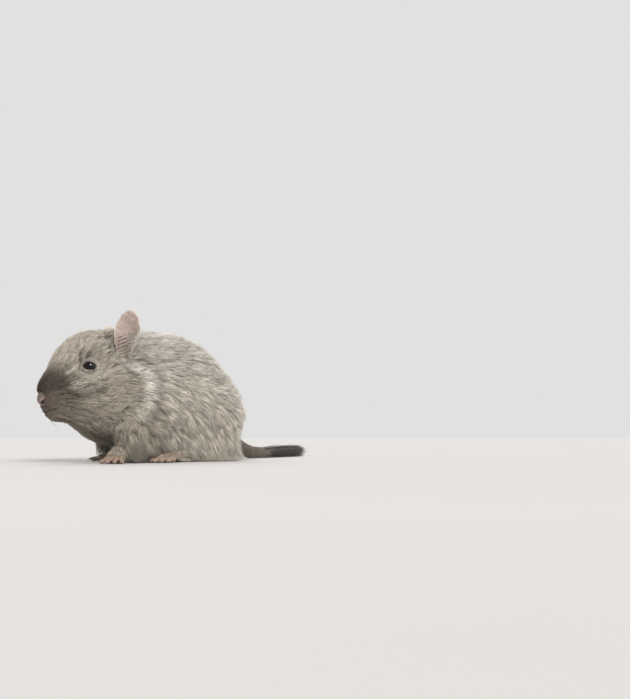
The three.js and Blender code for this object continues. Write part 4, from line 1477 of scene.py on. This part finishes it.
# %% Fuse, colour and fur the paws
def finish_paw(name, made_from, node, seed):
    form, claws = made_from
    for shape in (form, claws):
        bmesh.ops.scale(shape, vec=(MM, MM, MM), verts=shape.verts)
    paw = remeshed(mesh_object(f"{name}_skin", form), PAW_VOXEL, 3)
    places, normals = corners_of(paw.data)
    places += normals * (clouds(places, 1.1, seed) * 0.03)[:, None]
    places[:, 2] = np.maximum(places[:, 2], 0)
    move_corners(paw.data, places)
    unwrap(paw)
    places, normals = corners_of(paw.data)
    tones = np.tile(linear(154, 131, 116), (len(places), 1))
    tones += (linear(118, 98, 86) - tones) * smooth_step(-normals[:, 2], 0.2, 0.8)[:, None]
    tones *= (1 + clouds(places, 2.2, seed + 1) * 0.07)[:, None]
    give_colours(paw.data, np.clip(tones, 0, 1))
    paw.data.materials.append(paw_finish.material)
    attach(paw, BODY)
    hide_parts(node)
    nails = mesh_object(f"{name}_claws", claws)
    nails.data.materials.append(claw_finish.material)
    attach(nails, BODY)
    return paw


def paw_fur(paw, name, forward, cuff_of, seed):
    """Short hair on top of a paw, which lengthens into a cuff that hangs round the wrist or heel."""
    def density(points, facing):
        return 7.0 * smooth_step(facing[:, 2] + 0.8 * cuff_of(in_body(points)), -0.2, 0.3)

    fur = Coat(Ground(paw), density, seed)
    fur.keep(fur.roots[:, 2] > 0.7)
    cuff = cuff_of(in_body(fur.roots))
    heading = np.array(forward) * (1 - cuff)[:, None] + np.array([0.3, 0, -0.9]) * cuff[:, None]
    heading -= fur.normals * np.sum(heading * fur.normals, axis=1)[:, None]
    heading /= np.linalg.norm(heading, axis=1)[:, None] + 1e-9
    tall = smooth_step(fur.roots[:, 2], 1.2, 4.5)
    fur.shape(heading, 1.0 + 1.2 * tall + 4.4 * cuff, 0.12 + 0.04 * tall + 0.08 * cuff,
              0.14 + 0.2 * tall + 0.7 * cuff, 1.0 + 0.8 * cuff.mean(), 0.3, 0.18, hang=0.6 * cuff)
    base = coat_colour(fur.roots, fur.normals)
    base += (linear(*COLOURS["cheek"]) - base) * cuff[:, None]
    fur.write(f"{name}_fur", coat_finish, fur.colours(base, 0.55, linear(232, 224, 210), 0.07))


paw_finish = Finish("paw_skin_bare", Roughness=0.6)
paw_finish.set(Base_Color=paw_finish.node("Attribute", {"attribute_name": "coat_colour"}, output="Color"))
paw_finish.bump(paw_finish.noise(0.4, 3.0), 0.14, 0.8)
claw_finish = Finish("claw_horn", Roughness=0.3)
streaks = claw_finish.noise(0.8, 2.0)
claw_finish.set(Base_Color=claw_finish.mix(streaks, rgba(98, 80, 68), rgba(158, 138, 120)))
for name, side in SIDES.items():
    turn = math.radians(PAW_TURN[side]) * side
    forward = (-math.cos(turn), math.sin(turn), 0)
    paw = finish_paw(f"fore_{name}", fore_paw(side), f"forepaw_{name}", 81 + side)
    cuff = WRIST[side][0] + 1.5, WRIST[side][1], WRIST[side][2] + 3
    paw_fur(paw, f"fore_{name}", forward, lambda body: ball_mask(body, cuff, (6, 7, 4.6), 0.3), 85 + side)
    foot = finish_paw(f"hind_{name}", hind_foot(side), f"hindfoot_{name}", 91 + side)
    run = Vector(TOES[side]) - Vector(HEEL[side])
    paw_fur(foot, f"hind_{name}", (run.x / run.length, run.y / run.length, 0),
            lambda body: smooth_step(body[:, 0], TOES[side][0] + 3, TOES[side][0] + 9), 95 + side)
    print("paws", name, len(paw.data.polygons), len(foot.data.polygons), "faces")

# %% [markdown]
# ## The tail's brush
#
# The last third of the tail carries long dark hair that lies back along it and fans out a little
# at the tip. The strands are the same closed blades with more bends. Each follows the tail's own
# curve, drifts outwards as it goes, and is kept off the floor.

# %% Brush strands
BRUSH_FROM = 0.57
BRUSH_STRANDS = 2600
BRUSH_SPREAD = 6.2


def tail_frames(shares):
    """Points and directions of the tail's middle line, which runs straight on past its end."""
    line = np.array(smooth_path([placed(*point) for point in TAIL_PATH], 240))
    lengths = np.r_[0, np.cumsum(np.linalg.norm(np.diff(line, axis=0), axis=1))]
    total = lengths[-1]
    reach = np.clip(shares, 0, 1) * total
    place = np.stack([np.interp(reach, lengths, line[:, i]) for i in range(3)], 1)
    ahead = np.stack([np.interp(reach + 0.5, lengths, line[:, i]) for i in range(3)], 1)
    behind = np.stack([np.interp(reach - 0.5, lengths, line[:, i]) for i in range(3)], 1)
    along = (ahead - behind) / np.linalg.norm(ahead - behind, axis=1)[:, None]
    return place + along * (np.maximum(shares - 1, 0) * total)[:, None], along, total


def brush():
    strands = Coat(ground, lambda points, facing: 1.0 * (in_body(points)[:, 0] > 94), 101)
    random = strands.random
    chosen = random.integers(0, len(strands.roots), BRUSH_STRANDS)
    strands.keep(chosen)
    root_share = BRUSH_FROM + (0.985 - BRUSH_FROM) * random.uniform(size=BRUSH_STRANDS) ** 0.6
    full = 0.5 + 0.5 * smooth_step(root_share, BRUSH_FROM, 0.72)
    swing = random.uniform(0, math.tau, BRUSH_STRANDS)
    drift = random.uniform(0.25, 1.0, BRUSH_STRANDS) ** 0.7
    length = random.uniform(11, 18, BRUSH_STRANDS) * full

    def at(step):
        share = root_share + step * length / total
        place, along, _ = tail_frames(share)
        aside = np.cross((0, 0, 1), along)
        aside /= np.linalg.norm(aside, axis=1)[:, None]
        upward = np.cross(along, aside)
        core = np.interp(share, [0.55, 0.7, 1.0, 1.15], [2.75, 2.2, 1.6, 0.8])
        lift = core * (1 - 0.15 * step) + BRUSH_SPREAD * drift * full * step**0.8 * 0.62
        wave = swing + 0.25 * np.sin(step * 2.2 + swing * 3)
        out = aside * np.cos(wave)[:, None] + upward * np.sin(wave)[:, None]
        found = place + out * lift[:, None]
        found[:, 2] = np.maximum(found[:, 2], 0.35)
        return found, out

    total = tail_frames(np.zeros(1))[2]
    strands.start, strands.normals = at(0.0)
    strands.start = strands.start - strands.normals * 0.8
    strands.path = [at(step)[0] for step in (0.3, 0.62, 1.0)]
    strands.width = 0.3 * strands.jitter(0.3)
    strands.shade = random.normal(0, 1, BRUSH_STRANDS)
    blend = smooth_step(root_share, 0.58, 0.72)[:, None]
    base = linear(*COLOURS["tail"]) + (linear(*COLOURS["brush"]) - linear(*COLOURS["tail"])) * blend
    tones = strands.colours(base, 0.7, linear(96, 86, 78), 0.14)
    strands.write("brush_strands", brush_finish, tones, slot="brush_hair")


brush_finish = fur_finish("brush_hair_dark", 0.5, 0.1)
brush()
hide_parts("tail_brush")

# %% Finish
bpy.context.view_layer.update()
